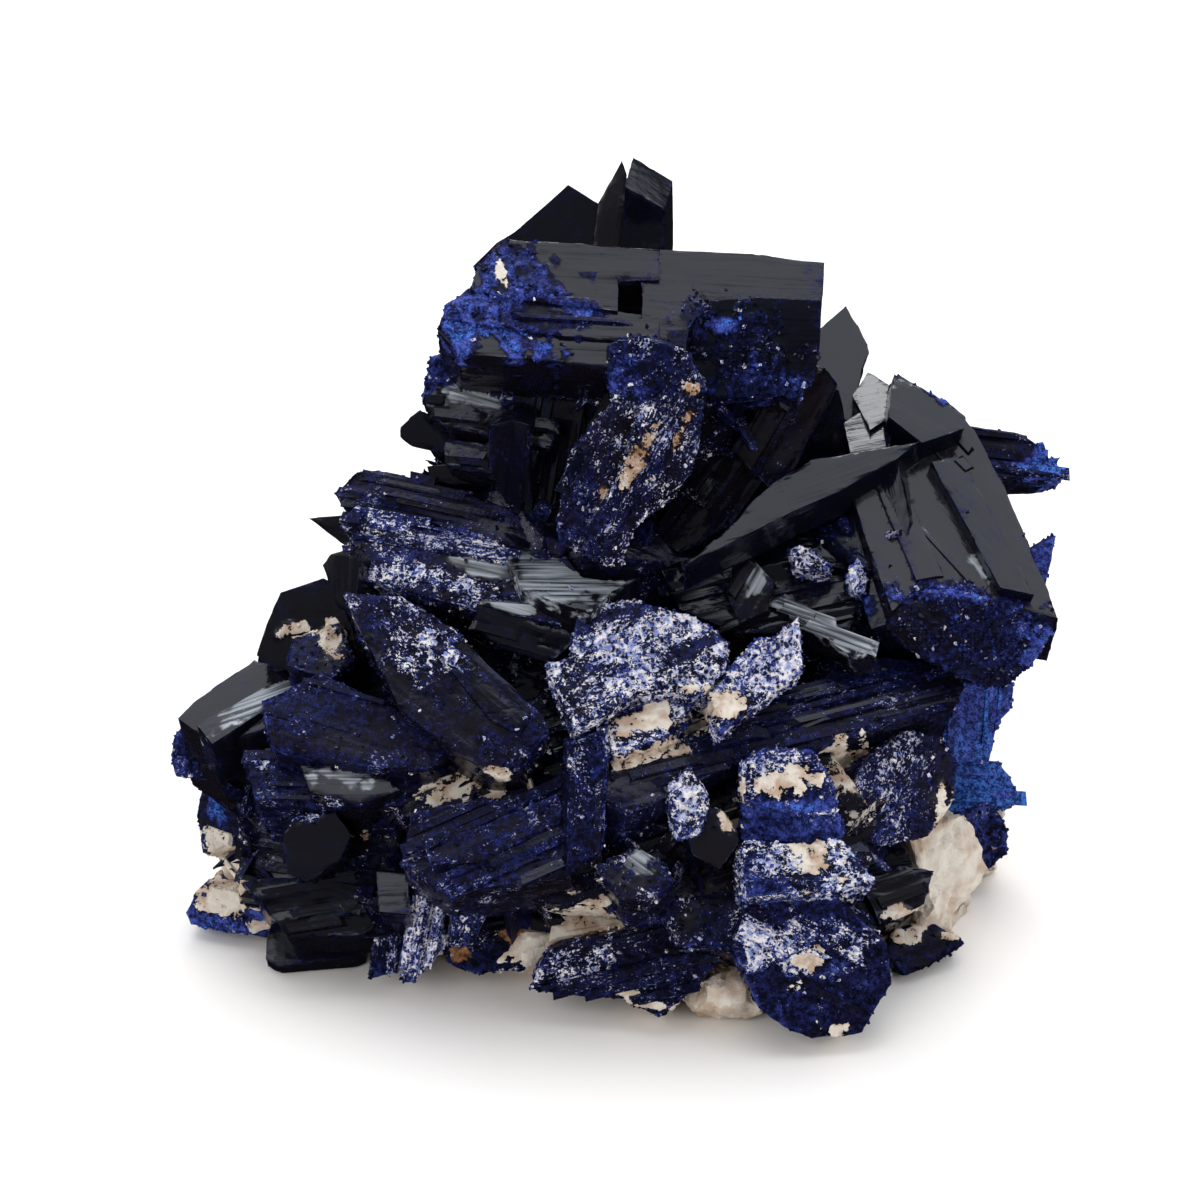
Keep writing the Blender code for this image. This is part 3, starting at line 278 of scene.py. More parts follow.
def hollow_crystals():
    """The dark blades at the bottom of the deep hollow, right of the middle."""
    return [
        Slab("hollow_back_prism", "smooth", 70, 3, (0, 0.2), 14, (0, 0),
             [(8, 22), (20, 22), (24, 21), (25.5, 12), (20, 4), (8, 4), (3, 10)]),
        Slab("hollow_blade_upper", "lined", 60, 9, (-0.1, 0.1), 5, (0, 0),
             [(17, 21), (22.5, 23.3), (24, 21.5), (19.5, 13), (17, 11), (13, 15)]),
        Slab("hollow_blade_middle", "lined", 55, 7, (0.2, -0.2), 6, (0, 0),
             [(9.5, 19), (16, 20), (18.5, 14), (13, 7.5), (8, 4.5), (5, 6.5), (9, 12)]),
        Slab("hollow_blade_lower", "lined", 15, 9, (0, -0.4), 8, (0, 0),
             [(6, 3), (12, 5), (20, 7), (24, 4), (26, 0), (25, -3.5), (14, -3.5), (8, -1)]),
        Slab("hollow_strip", "lined", -28, 12, (0.1, -0.6), 4, (0, 0),
             [(17, 0), (18.5, 0.8), (23.1, -1.9), (27.7, -4.8), (25.4, -6), (18.9, -1)]),
        Slab("hollow_chip_left", "frosted", 0, 12, (0.1, -0.3), 4, (0, 0),
             [(18.8, 5), (20, 5.7), (23.2, 3.6), (22.5, 2.8), (19.5, 3.2)]),
        Slab("hollow_chip_right", "frosted", 60, 11, (0, -0.3), 4, (0, 0),
             [(24.8, 3), (25.8, 4.5), (27, 2), (26.5, 0.5), (25, 1)]),
        Slab("hollow_fan", "lined", 60, 11, (0.1, -0.2), 5, (0, 0),
             [(13, 3.5), (15, 4.4), (17.5, 2), (17, -1), (14, -2.5), (12.8, 0)]),
    ]


def right_crystals():
    """The big blade at the right with its broken end, and what stands around it."""
    return [
        Slab("right_big_blade", "smooth", -58, 9, (-0.12, -0.6), 8, (0.4, -0.2),
             [(29.7, 22.8), (35.3, 19.5), (37.5, 17), (40.3, 11.8), (42.9, 5.9), (46, -1.9),
              (42.4, -1), (37.8, 0.4), (35.5, 1.3), (31.6, 1.1), (29.2, -1.2), (26.6, 6),
              (25.2, 10.5), (28.8, 18.4)]),
        Slab("right_broken_end", "broken", 0, 13, (-0.1, 0.15), 9, (0, 0),
             [(29, -0.9), (31.6, 0.9), (35.5, 1.1), (40, 0), (45.4, -2.1), (45.2, -3.4), (43, -6.6),
              (40.5, -8.6), (38, -8.7), (34.5, -7), (31, -5.2), (29.2, -3.2)]),
        Slab("right_blade_wedge", "glass", -30, 6, (-0.2, -0.72), 9, (0, 0),
             [(29.4, 22.8), (35.3, 19.5), (36.6, 18.4), (36.6, 17.2), (32.2, 15.7), (28.8, 18.4)]),
        Slab("right_blade_ridge_outer", "smooth", -58, 10.6, (-0.12, -0.6), 6, (0, 0),
             [(33, 14), (36.2, 14.5), (43.5, 0.5), (40, 1.2)]),
        Slab("right_blade_ridge_inner", "smooth", -58, 10.4, (-0.12, -0.6), 6, (0, 0),
             [(27.5, 11.5), (30, 12.5), (34.5, 2.5), (31.6, 2)]),
        Slab("right_blade_flank", "smooth", -70, 10, (0.5, -0.3), 10, (1, -3),
             [(29.7, 14.1), (31, 8), (30, 2), (29, -2.3), (27, -3), (24.8, 4), (24, 10.9)]),
        Slab("right_rear_blade", "blue_lined", -5, -3, (-0.1, -0.2), 8, (0.5, 0.5),
             [(36, 17.5), (42.4, 16.5), (43.6, 15.7), (44.3, 15.9), (44.9, 14.9), (44.1, 14.3), (46.2, 14.4),
              (45.5, 13.3), (47, 12.8), (46, 12.1), (44.3, 11.8), (40.3, 11.8), (34, 10), (32, 14)]),
        Slab("right_spike", "blue", 60, -3, (0, 0), 5, (0, 0),
             [(43, 5), (45.8, 6.7), (44.9, 3), (44.6, 1.2), (43, 0), (36, 0), (35, 5)]),
        Slab("grey_leaf", "glass", 70, -3, (0, -0.6), 6, (-0.6, 0.3),
             [(24.6, 29.5), (25.8, 27.6), (26.8, 25.7), (27, 24.8), (26.2, 23.2), (25.5, 18),
              (22, 18), (21, 22), (21.8, 25.3), (21.8, 27.1)]),
        Slab("grey_chip_upper", "glass", 30, 2, (0, -1.2), 6, (0, 0),
             [(25.2, 20.5), (26.8, 22.9), (29.1, 21.6), (30, 19), (27, 17)]),
        Slab("grey_chip_lower", "glass", 20, 5, (0, -1), 7, (0, 0),
             [(24.3, 17.8), (29.3, 20.9), (29.5, 19), (29, 15), (25.4, 13)]),
        Slab("long_shard", "glass", 25, 12, (-0.1, -0.5), 3.5, (0.3, -1),
             [(8.4, 3.4), (11.4, 6.1), (13.3, 7.6), (15.2, 9.9), (17.3, 11.8), (21.1, 14),
              (25, 14.7), (29.7, 15.5), (32, 15.9), (29.7, 14.1), (24, 10.9), (19.2, 8.8),
              (14.2, 6.3)]),
        Slab("shard_seat", "glass", 30, 6, (0, -0.2), 10, (0, 0),
             [(16, 10), (24, 14.5), (31, 14.5), (30, 4), (24, 1), (17, 5)]),
        # The cobalt of these thin blades is partly painted light shining through them.
        Slab("blue_stem", "cobalt", 90, -4, (-0.3, 0.2), 9, (0, 0),
             [(41.3, -8), (41.3, -11), (39.7, -12.4), (39.4, -14.6), (39, -16.5), (33, -17),
              (33, -7)]),
        Slab("blue_plate", "cobalt", 0, -9, (-0.2, -0.3), 6, (0, 0),
             [(36.8, -16), (39.9, -15.9), (42.4, -19.8), (38.2, -21.3), (33, -21), (33, -16)]),
        Slab("low_right_splinter", "blue", 90, -10, (-0.2, 0.3), 7, (0, 0),
             [(39, -20), (40.9, -23.1), (40.8, -25.5), (38.7, -27), (36.3, -31), (33, -30),
              (34, -22)]),
    ]


def middle_plates():
    """The coated plates and stout crystals that face the observer in the middle."""
    return [
        Slab("grey_ledge", "glass", 0, 15, (0, -1), 8, (0, 0),
             [(-9.9, 5.9), (-6.8, 5.3), (-5.7, 4.8), (-3.7, 4.8), (-1.8, 2.3), (1, 1.9),
              (4.1, 2.3), (1.2, 0.9), (-0.9, -1.4), (-3.2, -0.6), (-7.8, 1.1), (-9.3, 3.6)]),
        Slab("plate_a", "frosted", 20, 19, (0, -0.45), 4.5, (0, 0),
             [(-5.4, -6.5), (-3, -5.6), (-2.4, -1.4), (0.1, -0.2), (3, 0.2), (6.2, -0.6),
              (9.7, -1.7), (12.8, -4), (12.6, -6.7), (10.3, -9.2), (3.7, -9.2), (1.2, -11.1),
              (-2.6, -12.8)]),
        Slab("plate_c", "frosted", 20, 19.5, (0.1, -0.5), 4, (0, 0),
             [(0.8, -11), (8.3, -9.2), (9, -10.5), (5.8, -14), (1.2, -15.1), (0.4, -13)]),
        Slab("plate_b", "frosted", 45, 18, (-0.15, -0.35), 4.5, (0, 0),
             [(19.9, -1.5), (20.4, -7.1), (12.2, -13.2), (10.9, -9.4), (13.6, -6),
              (15.9, -3.8), (17.4, -4.2)]),
        Slab("cream_crystal", "frosted", 0, 18, (0, -0.1), 9, (0, 0),
             [(14.1, -16.1), (16.2, -14.7), (21.2, -14.9), (23.5, -18.6), (23.7, -21.4),
              (19, -21.5), (14.3, -20.1)]),
        Slab("banded_crystal", "blue", 0, 17, (0, 0), 9, (0, 0),
             [(14.3, -20), (23.7, -21), (24.4, -23.7), (20.3, -24.7), (14, -24)]),
        Slab("clay_faced_crystal", "frosted", 0, 19, (-0.1, -0.3), 9, (0, 0),
             [(14.5, -23.9), (20.3, -24.5), (23.9, -23.7), (27.7, -28.1), (23.7, -29.1),
              (14.7, -29.7), (14, -25.6)]),
        Slab("pitted_blade", "pitted", 60, 10, (-0.4, -0.1), 9, (0, 0),
             [(26.6, -16.1), (30.8, -13), (34, -13.6), (36, -16), (35.5, -20), (32.7, -23.7),
              (27.9, -24.7), (25.6, -22.8), (24.8, -19.9)]),
        Slab("small_grey_crystal", "speckled", -40, 18.5, (0.1, -0.4), 7, (0, -0.8),
             [(-0.4, -26.6), (3.8, -24.5), (6.3, -26.2), (7.3, -28.1), (4.8, -30), (1.9, -30)]),
        Slab("speckled_chip", "frosted", 60, 19.5, (0, -0.1), 6, (0, 0),
             [(6.5, -18.5), (9, -16.5), (11, -20), (10, -23.5), (7.5, -23.8)]),
        Slab("dark_lump_upper", "glass", 60, 18.5, (0, -0.2), 7, (0, 0),
             [(10.2, -20.5), (12.4, -20.8), (14, -24), (12, -27), (9.2, -25.5), (8.5, -23)]),
    ]


def middle_bars():
    """The long bars and blades behind and between the coated plates."""
    return [
        Slab("long_bar", "blue_lined", 20, 15, (-0.18, -0.5), 9, (0, -0.6),
             [(0.5, -20), (0.5, -17), (4, -15.1), (11.5, -12.3), (20.5, -8), (28, -5.5),
              (37, -7), (36, -10), (22.4, -14.7), (14.1, -16.1), (8, -19), (3, -21.5)]),
        Slab("speckled_bar", "speckled", 88, 20, (0, 0.1), 4.5, (-0.6, 0),
             [(-3.2, -14.5), (0.7, -12.6), (1, -15.1), (0.4, -25.1), (-3.4, -27.6)]),
        Slab("big_diagonal_blade", "blue_lined", 25, 16.5, (0.1, -0.35), 8, (0, -0.8),
             [(-18.9, -21.2), (-10.9, -19.9), (-5.2, -18), (-2.8, -16), (-3, -27.2), (-15, -29.5),
              (-20.1, -26.6)]),
        Slab("diagonal_blade_ridge", "blue_lined", 25, 17.6, (0.1, -0.35), 6, (0, 0),
             [(-17.5, -24.5), (-4, -19.5), (-3.6, -22), (-12, -26.2), (-17, -26.5)]),
        Slab("centre_bed", "bed", 20, 12, (0, -0.2), 14, (0, 0),
             [(-18, -14), (-4, -5), (12, -8), (22, -14), (28, -22), (24, -30), (4, -31),
              (-14, -30), (-20, -22)]),
    ]


def upper_left_crystals():
    """The coated blades that fan out to the upper left."""
    return [
        Slab("upper_blade", "blue_lined", -15, 10, (0.2, -0.25), 6, (0, -1),
             [(-26.7, 10.7), (-24.3, 13), (-22, 13.2), (-17.4, 12.1), (-10, 9.5), (-3, 5.5),
              (-4, 4), (-10, 5.5), (-18, 8), (-25.4, 9.3)]),
        Slab("second_blade", "streaked", -12, 11, (0.2, -0.25), 6, (0, -0.6),
             [(-26.2, 8.3), (-24.3, 9.5), (-16, 7.5), (-8, 5), (-8, 3), (-18, 5), (-25.5, 6.5)]),
        Slab("grey_wedge", "glass", 0, 5, (0.2, 0), 6, (0, 0),
             [(-29.3, 8.2), (-25.5, 8.5), (-20, 7.5), (-20, 4.5), (-25.6, 5.4)]),
        Slab("coated_row", "speckled", -15, 13, (0.15, -0.4), 9, (0, -0.5),
             [(-25.9, 6), (-20, 6.5), (-9, 4), (-3, 0), (-4, -2.5), (-12, -1), (-20, 1),
              (-25.4, 2.5)]),
        Slab("striated_block", "lined", -15, 15.5, (0.1, 0), 10, (0, 0.5),
             [(-12, 0), (-3, -0.6), (-2.4, -4), (-5, -6.5), (-10.5, -4.5), (-13, -2.5)]),
        Slab("mid_slab_end", "glass", 90, 12, (0.5, 0), 9, (0.5, 0),
             [(-27.9, 3.5), (-27, 4.6), (-25.8, 5), (-24, 4), (-24.5, -2), (-26.2, -0.9)]),
        Slab("long_mid_blade", "brown", -40, 17, (0.12, -0.25), 9, (-0.5, -0.9),
             [(-25.6, 1), (-20, 0.5), (-14.7, -2.6), (-12.4, -5.2), (-5.7, -11.3),
              (-5.1, -13.2), (-8, -16.5), (-11.6, -16.8), (-15, -14.9), (-20, -10.9),
              (-25, -1.2)]),
        Slab("grey_plate", "glass", 0, 4, (0.15, -0.05), 8, (0.6, 0),
             [(-33.3, -2.2), (-32, 0.8), (-27.7, 2.2), (-25, -2), (-24, -6), (-32.5, -7.2),
              (-34.4, -5.5)]),
        Slab("grey_plate_chip", "navy", 0, 8, (0, -0.6), 5, (0, 0),
             [(-31, -3.5), (-26, -2), (-24.5, -6), (-27, -8), (-31.5, -6.5)]),
        Slab("mid_blade_ridge", "brown", -40, 18.2, (0.12, -0.25), 6, (0, 0),
             [(-17, -4.5), (-14, -4.8), (-7, -11.5), (-8, -13.5), (-11, -12)]),
    ]


def lower_left_crystals():
    """The dark prisms and blades at the lower left."""
    return [
        Slab("left_prism", "smooth", 28, 3, (0.15, -0.7), 7, (0, -3),
             [(-42.3, -11.8), (-40.6, -10.1), (-34.6, -5.9), (-30.4, -7.2), (-28, -11),
              (-38.5, -14.5)]),
        Slab("left_prism_bevel", "smooth", 30, 4.2, (0.15, -1), 5, (0, -1),
             [(-40.4, -12.4), (-30.4, -6.8), (-29.6, -8.4), (-38.8, -14.4)]),
        Slab("left_prism_end", "blue", 28, 1, (0.2, 0.2), 7, (0.3, 0.4),
             [(-42.6, -13), (-39, -13.9), (-36, -14), (-36.7, -17.2), (-39.2, -18.1),
              (-42.5, -17.7), (-43.1, -16.2)]),
        Slab("left_dark_blade", "navy", -20, 13, (0.1, -0.4), 8, (0, -1),
             [(-34, -10), (-28, -7.2), (-20, -10.9), (-15, -14.5), (-17, -17), (-26, -16.5),
              (-33, -14.5)]),
        Slab("left_low_blade", "blue_lined", -5, 10.5, (0.15, -0.5), 8, (0, -1),
             [(-36, -15.5), (-31, -14.5), (-22, -16), (-17, -18), (-20, -20.5), (-29, -20.5),
              (-34.5, -20)]),
        Slab("left_grey_face", "glass", 0, 13.5, (0, -0.5), 6, (0, 0),
             [(-30, -16.5), (-23.5, -16), (-20, -19), (-24, -20.5), (-29, -19.2)]),
        Slab("round_leaf", "glass", 0, 11.5, (0.1, -0.1), 6, (0, 0),
             [(-31.8, -23.5), (-30.6, -21.6), (-26.4, -21.2), (-24.9, -23.5), (-26, -26),
              (-29.3, -28.3), (-31.4, -27.3)]),
        Slab("left_fan", "blue_lined", -20, -1, (0.3, -0.2), 8, (0, 0),
             [(-40.1, -18.3), (-36, -18), (-30, -20), (-30, -25), (-34, -23.5), (-39.6, -25.2),
              (-40.4, -21.6)]),
        Slab("left_bed", "bed", -10, 5, (0.35, -0.2), 14, (0, 0),
             [(-37, -14), (-28, -6), (-16, 2), (-8, 2), (-8, -28), (-22, -31.5), (-36, -30.5)]),
    ]


def bottom_crystals():
    """The low row along the front, which stands on the cut."""
    return [
        Slab("corner_lump", "blue", 20, -3, (0.3, 0.2), 9, (0, 0),
             [(-41.7, -31.3), (-40.6, -29.2), (-39.8, -28.3), (-34, -30), (-32.5, -32.5),
              (-33.5, -34), (-41.1, -32.7)]),
        Slab("bottom_slab", "smooth", 0, 1, (0.1, -0.5), 8, (0, 0),
             [(-33.4, -33), (-23.9, -33), (-23.7, -35), (-24.9, -35.7), (-32.3, -36.7),
              (-33.5, -35.9)]),
        Slab("bottom_block", "lined", -8, 6, (0.2, 0.1), 10, (0, 0),
             [(-32.8, -30.5), (-32, -28.5), (-27, -27.8), (-22.5, -28.5), (-22.8, -33.5),
              (-33.2, -33.5)]),
        Slab("bottom_facet", "smooth", 0, 12, (0.1, -0.5), 7, (0, 0),
             [(-22.5, -27), (-19.2, -27.2), (-19, -31.5), (-22.2, -31.2)]),
        Slab("front_blade_a", "streaked", 80, 7, (0.2, 0.5), 6, (0, 0),
             [(-22, -31.8), (-20, -30.5), (-19.6, -34.5), (-20, -37.3), (-23.4, -38),
              (-22.8, -34.5)]),
        Slab("front_blade_b", "streaked", 80, 9, (0, 0.5), 6, (0, 0),
             [(-18.9, -30.2), (-15.7, -28.7), (-15.3, -35.2), (-18.6, -38.3), (-19.9, -38.7)]),
        Slab("front_blade_c", "streaked", 70, 12.5, (-0.1, 0.2), 6, (0, 0),
             [(-14.4, -28.7), (-11.5, -30.5), (-12.5, -34.5), (-15, -35)]),
        Slab("front_lumps", "speckled", 30, 6, (0, 0.4), 8, (0, 0),
             [(-15.5, -33.3), (-11, -32.5), (-6.7, -34), (-7.2, -37.2), (-12.5, -37.5),
              (-15.5, -36.5)]),
        Slab("front_shard", "blue_lined", 15, 11, (0.1, 0.1), 7, (0, 0),
             [(-7.3, -39), (-5.7, -35.6), (-2.9, -34.3), (6.7, -31.4), (13, -34), (10, -38.5),
              (5.9, -41.9), (4, -40.8), (1, -39.8), (-1.9, -39.6)]),
        Slab("big_front_crystal", "navy", -30, 14.5, (-0.15, 0.25), 13, (0, 0),
             [(15.3, -30.2), (23.7, -29.9), (28.7, -34.4), (29.4, -38.3), (27.7, -40.6),
              (26.2, -43.6), (21.2, -44), (19.3, -43.2), (15.9, -40.8), (13, -34.8)]),
        Slab("front_rib", "speckled", 60, 15, (0, -0.3), 8, (0, 0),
             [(5, -30), (13, -29), (15, -31), (14.5, -35), (8, -34.5)]),
        Slab("low_right_crystal", "lined", 20, 8, (-0.2, -0.2), 9, (0, 0),
             [(26, -28), (30, -26.5), (33.5, -27), (32.5, -30.5), (28, -32.5)]),
        Slab("low_right_lump", "navy", 20, 1, (-0.2, -0.2), 7, (0, 0),
             [(36.4, -34.7), (36.3, -33.7), (33, -32), (29.5, -33), (28.5, -35.5),
              (30.7, -37.7)]),
        Slab("bottom_bed", "lined", 10, 7, (0, -0.3), 9, (0, 0),
             [(-36, -28), (-10, -26), (14, -27), (30, -24), (33, -29), (28, -33), (10, -34),
              (-10, -33), (-31, -34)]),
    ]


def side_and_back_blades():
    """Blades that radiate from the middle to the right, the left and away from the observer."""
    rows = [
        ("low", 7, 11, 13, (-12, 200), 27, 11, 4.5),
        ("low_small", 12, 9, 22, (-5, 190), 14, 5.5, 3),
        ("middle", 20, 9, 9, (-5, 190), 26, 12, 5),
        ("middle_small", 28, 8, 15, (10, 175), 13, 5.5, 3),
        ("upper", 36, 7, 5, (15, 150), 22, 10, 4.5),
        ("upper_small", 44, 5, 9, (20, 160), 12, 5, 3),
        ("crest", 53, 5, 3, (30, 150), 16, 8, 4),
    ]
    draws = random.Random(41)
    blades = []
    for row, height, count, start, (first, last), length, width, thick in rows:
        for place in range(count):
            compass = first + (last - first) * (place + draws.uniform(0.15, 0.85)) / count
            root = (start * math.cos(math.radians(compass)),
                    5 + 0.6 * start * math.sin(math.radians(compass)),
                    height + draws.uniform(-3, 3))
            blades.append(Blade(
                f"{row}_blade_{place + 1}", root, compass, draws.uniform(-2, 38),
                draws.uniform(-80, 80), length * draws.uniform(0.75, 1.1),
                width * draws.uniform(0.6, 1.3), thick * draws.uniform(0.6, 1.25),
                (draws.uniform(24, 48), draws.uniform(30, 65))))
    return blades


CORE_CLODS = [
    # (middle, half sizes) of the dark mass that the crystals grow from
    ((0, 1, 17), (33, 24, 14)),
    ((-4, 3, 34), (21, 17, 15)),
    ((2, 6, 52), (14, 12, 15)),
    ((22, 3, 33), (15, 14, 13)),
]

CLAY_FOOTPRINT = [(-39, -2), (-35, -9), (-27, -13), (-17, -17), (-7, -20), (3, -24), (12, -25),
                  (22, -22), (31, -17), (37, -8), (38.5, 3), (36, 13), (30, 20), (22, 28), (9, 30),
                  (-3, 32), (-15, 28), (-27, 24), (-34, 14), (-39, 8)]

CLAY_CLODS = [
    # (middle, half sizes) of the clay that swells up between the crystals
    ((-37, -7, 6), (5, 6, 6)),
    ((-34, -12, 3), (5, 5, 4)),
    ((-14, -17, 5), (8, 5, 5)),
    ((-6, -20, 5), (8, 5, 6)),
    ((4, -23, 5), (8, 5, 6)),
    ((10, -26, 3), (6, 4, 4)),
    ((31, -12, 8), (7, 7, 9)),
    ((34.5, 0, 5), (6.5, 8, 8)),
    ((33, 12, 4), (6, 8, 6)),
    ((20, 23, 4), (11, 8, 7)),
    ((-2, 27, 4), (11, 7, 6)),
    ((-20, 22, 5), (11, 8, 7)),
    ((-35, 8, 4), (6, 9, 6)),
]


def deselect():
    bpy.ops.object.select_all(action="DESELECT")


def select_only(piece):
    deselect()
    piece.select_set(True)
    bpy.context.view_layer.objects.active = piece


def edit(piece):
    """Open one piece in edit mode with all of it selected."""
    select_only(piece)
    bpy.ops.object.mode_set(mode="EDIT")
    bpy.ops.mesh.select_all(action="SELECT")


def leave_edit():
    bpy.ops.object.mode_set(mode="OBJECT")


def apply_modifier(piece, kind, **settings):
    """Add a modifier with these settings and apply it."""
    step = piece.modifiers.new(kind.lower(), kind)
    for name, value in settings.items():
        setattr(step, name, value)
    select_only(piece)
    bpy.ops.object.modifier_apply(modifier=step.name)


def read(items, name, width, kind=np.float32):
    """One property of a mesh's points, faces, edges or corners as rows of numbers."""
    flat = np.empty(len(items) * width, kind)
    items.foreach_get(name, flat)
    return flat.reshape(-1, width) if width > 1 else flat


def set_points(mesh, points):
    mesh.vertices.foreach_set("co", points.astype(np.float32).ravel())
    mesh.update()


def store(mesh, name, kind, values):
    field = mesh.attributes.get(name) or mesh.attributes.new(name, kind, "POINT")
    channel = "color" if kind == "FLOAT_COLOR" else "vector"
    field.data.foreach_set(channel, values.astype(np.float32).ravel())


def noise_at(points, seed):
    """Smooth noise from -1 to 1 with features one unit wide."""
    table = np.random.default_rng(9000 + seed).uniform(-1, 1, 4096)
    cell = np.floor(points).astype(np.int64)
    part = points - cell
    part = part * part * (3 - 2 * part)
    total = np.zeros(len(points))
    for corner in range(8):
        step = np.array([corner & 1, (corner >> 1) & 1, (corner >> 2) & 1])
        place = cell + step
        index = (place[:, 0] * 73856093 ^ place[:, 1] * 19349663 ^ place[:, 2] * 83492791) & 4095
        total += np.prod(np.where(step == 1, part, 1 - part), axis=1) * table[index]
    return total


def rough_noise(points, seed, octaves=3):
    total = np.zeros(len(points))
    for octave in range(octaves):
        total += noise_at(points * 2.03 ** octave, seed + octave) * 0.55 ** octave
    return total


def stepped(values, steps):
    """Flatten a smooth field into treads with steep risers."""
    scaled = values * steps
    tread = np.floor(scaled)
    riser = np.clip((scaled - tread - 0.72) / 0.28, 0, 1)
    return (tread + riser) / steps


def edge_share(mesh):
    """How close each point is to a crystal edge: 1 on it, falling to 0 about a millimetre away."""
    faces = read(mesh.polygons, "normal", 3)
    sizes = read(mesh.polygons, "loop_total", 1, np.int32)
    corners = read(mesh.loops, "vertex_index", 1, np.int32)
    ends = read(mesh.edges, "vertices", 2, np.int32)
    owner = np.repeat(np.arange(len(sizes)), sizes)
    counts = np.bincount(corners, minlength=len(mesh.vertices))
    summed = [np.bincount(corners, faces[owner, axis], len(mesh.vertices)) for axis in range(3)]
    share = (np.linalg.norm(summed, axis=0) / np.maximum(counts, 1) < 0.985).astype(float)
    for _ in range(3):
        spread = share.copy()
        np.maximum.at(spread, ends[:, 0], share[ends[:, 1]] * 0.55)
        np.maximum.at(spread, ends[:, 1], share[ends[:, 0]] * 0.55)
        share = spread
    return share


def divide(piece, spacing):
    """Dice a crystal with flat cuts and divide every cell again, so that its faces can be worked."""
    points = read(piece.data.vertices, "co", 3)
    low, high = points.min(0), points.max(0)
    edit(piece)
    for axis in range(3):
        direction = [0, 0, 0]
        direction[axis] = 1
        for place in np.arange(low[axis] + spacing * 0.6, high[axis] - spacing * 0.2, spacing):
            spot = [0, 0, 0]
            spot[axis] = float(place)
            bpy.ops.mesh.select_all(action="SELECT")
            bpy.ops.mesh.bisect(plane_co=spot, plane_no=direction)
    leave_edit()
    apply_modifier(piece, "SUBSURF", subdivision_type="SIMPLE", levels=DICE_LEVELS,
                   render_levels=DICE_LEVELS)


def in_view(points):
    """Where the observer sees these points: right of and above the middle of the view."""
    rays = points - np.array(EYE)
    reach = VIEW_DISTANCE / -(rays @ np.array(NEARER))
    return rays @ np.array(RIGHT) * reach, rays @ np.array(ABOVE) * reach


def finishes(name, look, points):
    """The look of every point of a crystal, changed inside the patches that name it."""
    values = np.tile(np.array(look, float), (len(points), 1))
    right, above = in_view(points)
    wander = rough_noise(points * 0.8, 71, 4)
    for patch in PATCHES:
        if name not in patch.crystals:
            continue
        turn = math.radians(patch.turn)
        off_right, off_above = right - patch.right, above - patch.above
        lengthwise = (off_right * math.cos(turn) + off_above * math.sin(turn)) / patch.half_right
        sideways = (off_above * math.cos(turn) - off_right * math.sin(turn)) / patch.half_above
        share = np.clip((1.25 - np.hypot(lengthwise, sideways) + 0.6 * wander) / 0.55, 0, 1)[:, None]
        values = values * (1 - share) + np.array(LOOKS[patch.look]) * share
    return Look(*values.T)


def weather(piece, look, along, across, seed):
    """Work a divided crystal's surface: growth lines, grains, waves and chipped edges."""
    mesh = piece.data
    points = read(mesh.vertices, "co", 3).astype(float)
    normals = read(mesh.vertices, "normal", 3)
    at = finishes(piece.name, look, points)
    draws = np.random.default_rng(seed)
    own = np.stack([points @ along, points @ across, points @ np.cross(along, across)], axis=1)
    own += draws.uniform(-40, 40, 3)
    rim = edge_share(mesh)
    level = 1 - 0.85 * np.abs(normals @ along)
    line_space = own * (0.10, 1.15, 1.15) + 0.25 * noise_at(own * 0.3, 3)[:, None]
    ridges = stepped(noise_at(line_space, 11) + 0.5 * noise_at(line_space * 2.7, 12), 2.5)
    ledges = stepped(noise_at(own * (0.05, 0.36, 0.36), 13), 2.0)
    move = at.lines * level * (ridges + 1.1 * ledges)
    move += at.waves * rough_noise(own * 0.22, 21, 2)
    grains = 1 - np.abs(noise_at(own * 1.5, 31))
    grains = grains ** 2 + 0.5 * (1 - np.abs(noise_at(own * 2.6, 32))) ** 2
    move += at.grains * (grains - 0.6) * np.clip(0.7 + 0.8 * noise_at(own * 0.35, 33), 0.1, 1.2)
    move += at.clay ** 2 * (0.10 + 0.28 * rough_noise(own * 0.9, 61, 2))
    nicks = stepped(0.5 + 0.5 * noise_at(own * (0.5, 0.9, 0.9), 41), 3)
    move -= at.chips * rim * (0.25 + 1.3 * nicks)
    set_points(mesh, points + normals * move[:, None])
    drift = noise_at(own * (0.07, 0.20, 0.20), 51) + 0.6 * noise_at(own * (0.16, 0.55, 0.55), 52)
    bloom = noise_at(own * (0.16, 0.36, 0.36), 53) + 0.8 * noise_at(own * (0.35, 1.1, 1.1), 54)
    crust = at.crust * np.clip(1 + 0.4 * drift, 0.5, 1.3)
    frost = at.frost * np.clip(1 + 0.7 * bloom, 0.2, 1.5)
    druse = at.druse * np.clip(1 + 1.0 * bloom, 0.1, 2.2)
    # The rim share, which also chips the edges above, is stored as the fourth finish channel; the shader
    # paints light shining through thin edges from it.
    store(mesh, "finish", "FLOAT_COLOR", np.stack([crust, frost, at.clay, rim], axis=1))
    tint = np.full(len(points), draws.uniform(0, 1))
    # The sheen in extra sets how much painted grey sky reflection the shader lays on.
    store(mesh, "extra", "FLOAT_COLOR", np.stack([at.rust, at.sheen, tint * 0, tint], axis=1))
    store(mesh, "cover", "FLOAT_VECTOR", np.stack([druse, at.sprouts, tint * 0], axis=1))
    store(mesh, "growth", "FLOAT_VECTOR", own * MM)


def seen(right, above):
    """The place on the view's middle plane that the observer sees right of and above its middle."""
    return VIEW_POINT + RIGHT * right + ABOVE * above


def inside(outline, places):
    """Which places lie inside a flat outline, by counting the sides that each one sees."""
    odd = np.zeros(places.shape[0], bool)
    for (ax, ay), (bx, by) in zip(outline, np.roll(outline, -1, axis=0)):
        spans = (ay > places[:, 1]) != (by > places[:, 1])
        height = by - ay if by != ay else 1e-9
        odd ^= spans & (places[:, 0] < ax + (places[:, 1] - ay) * (bx - ax) / height)
    return odd


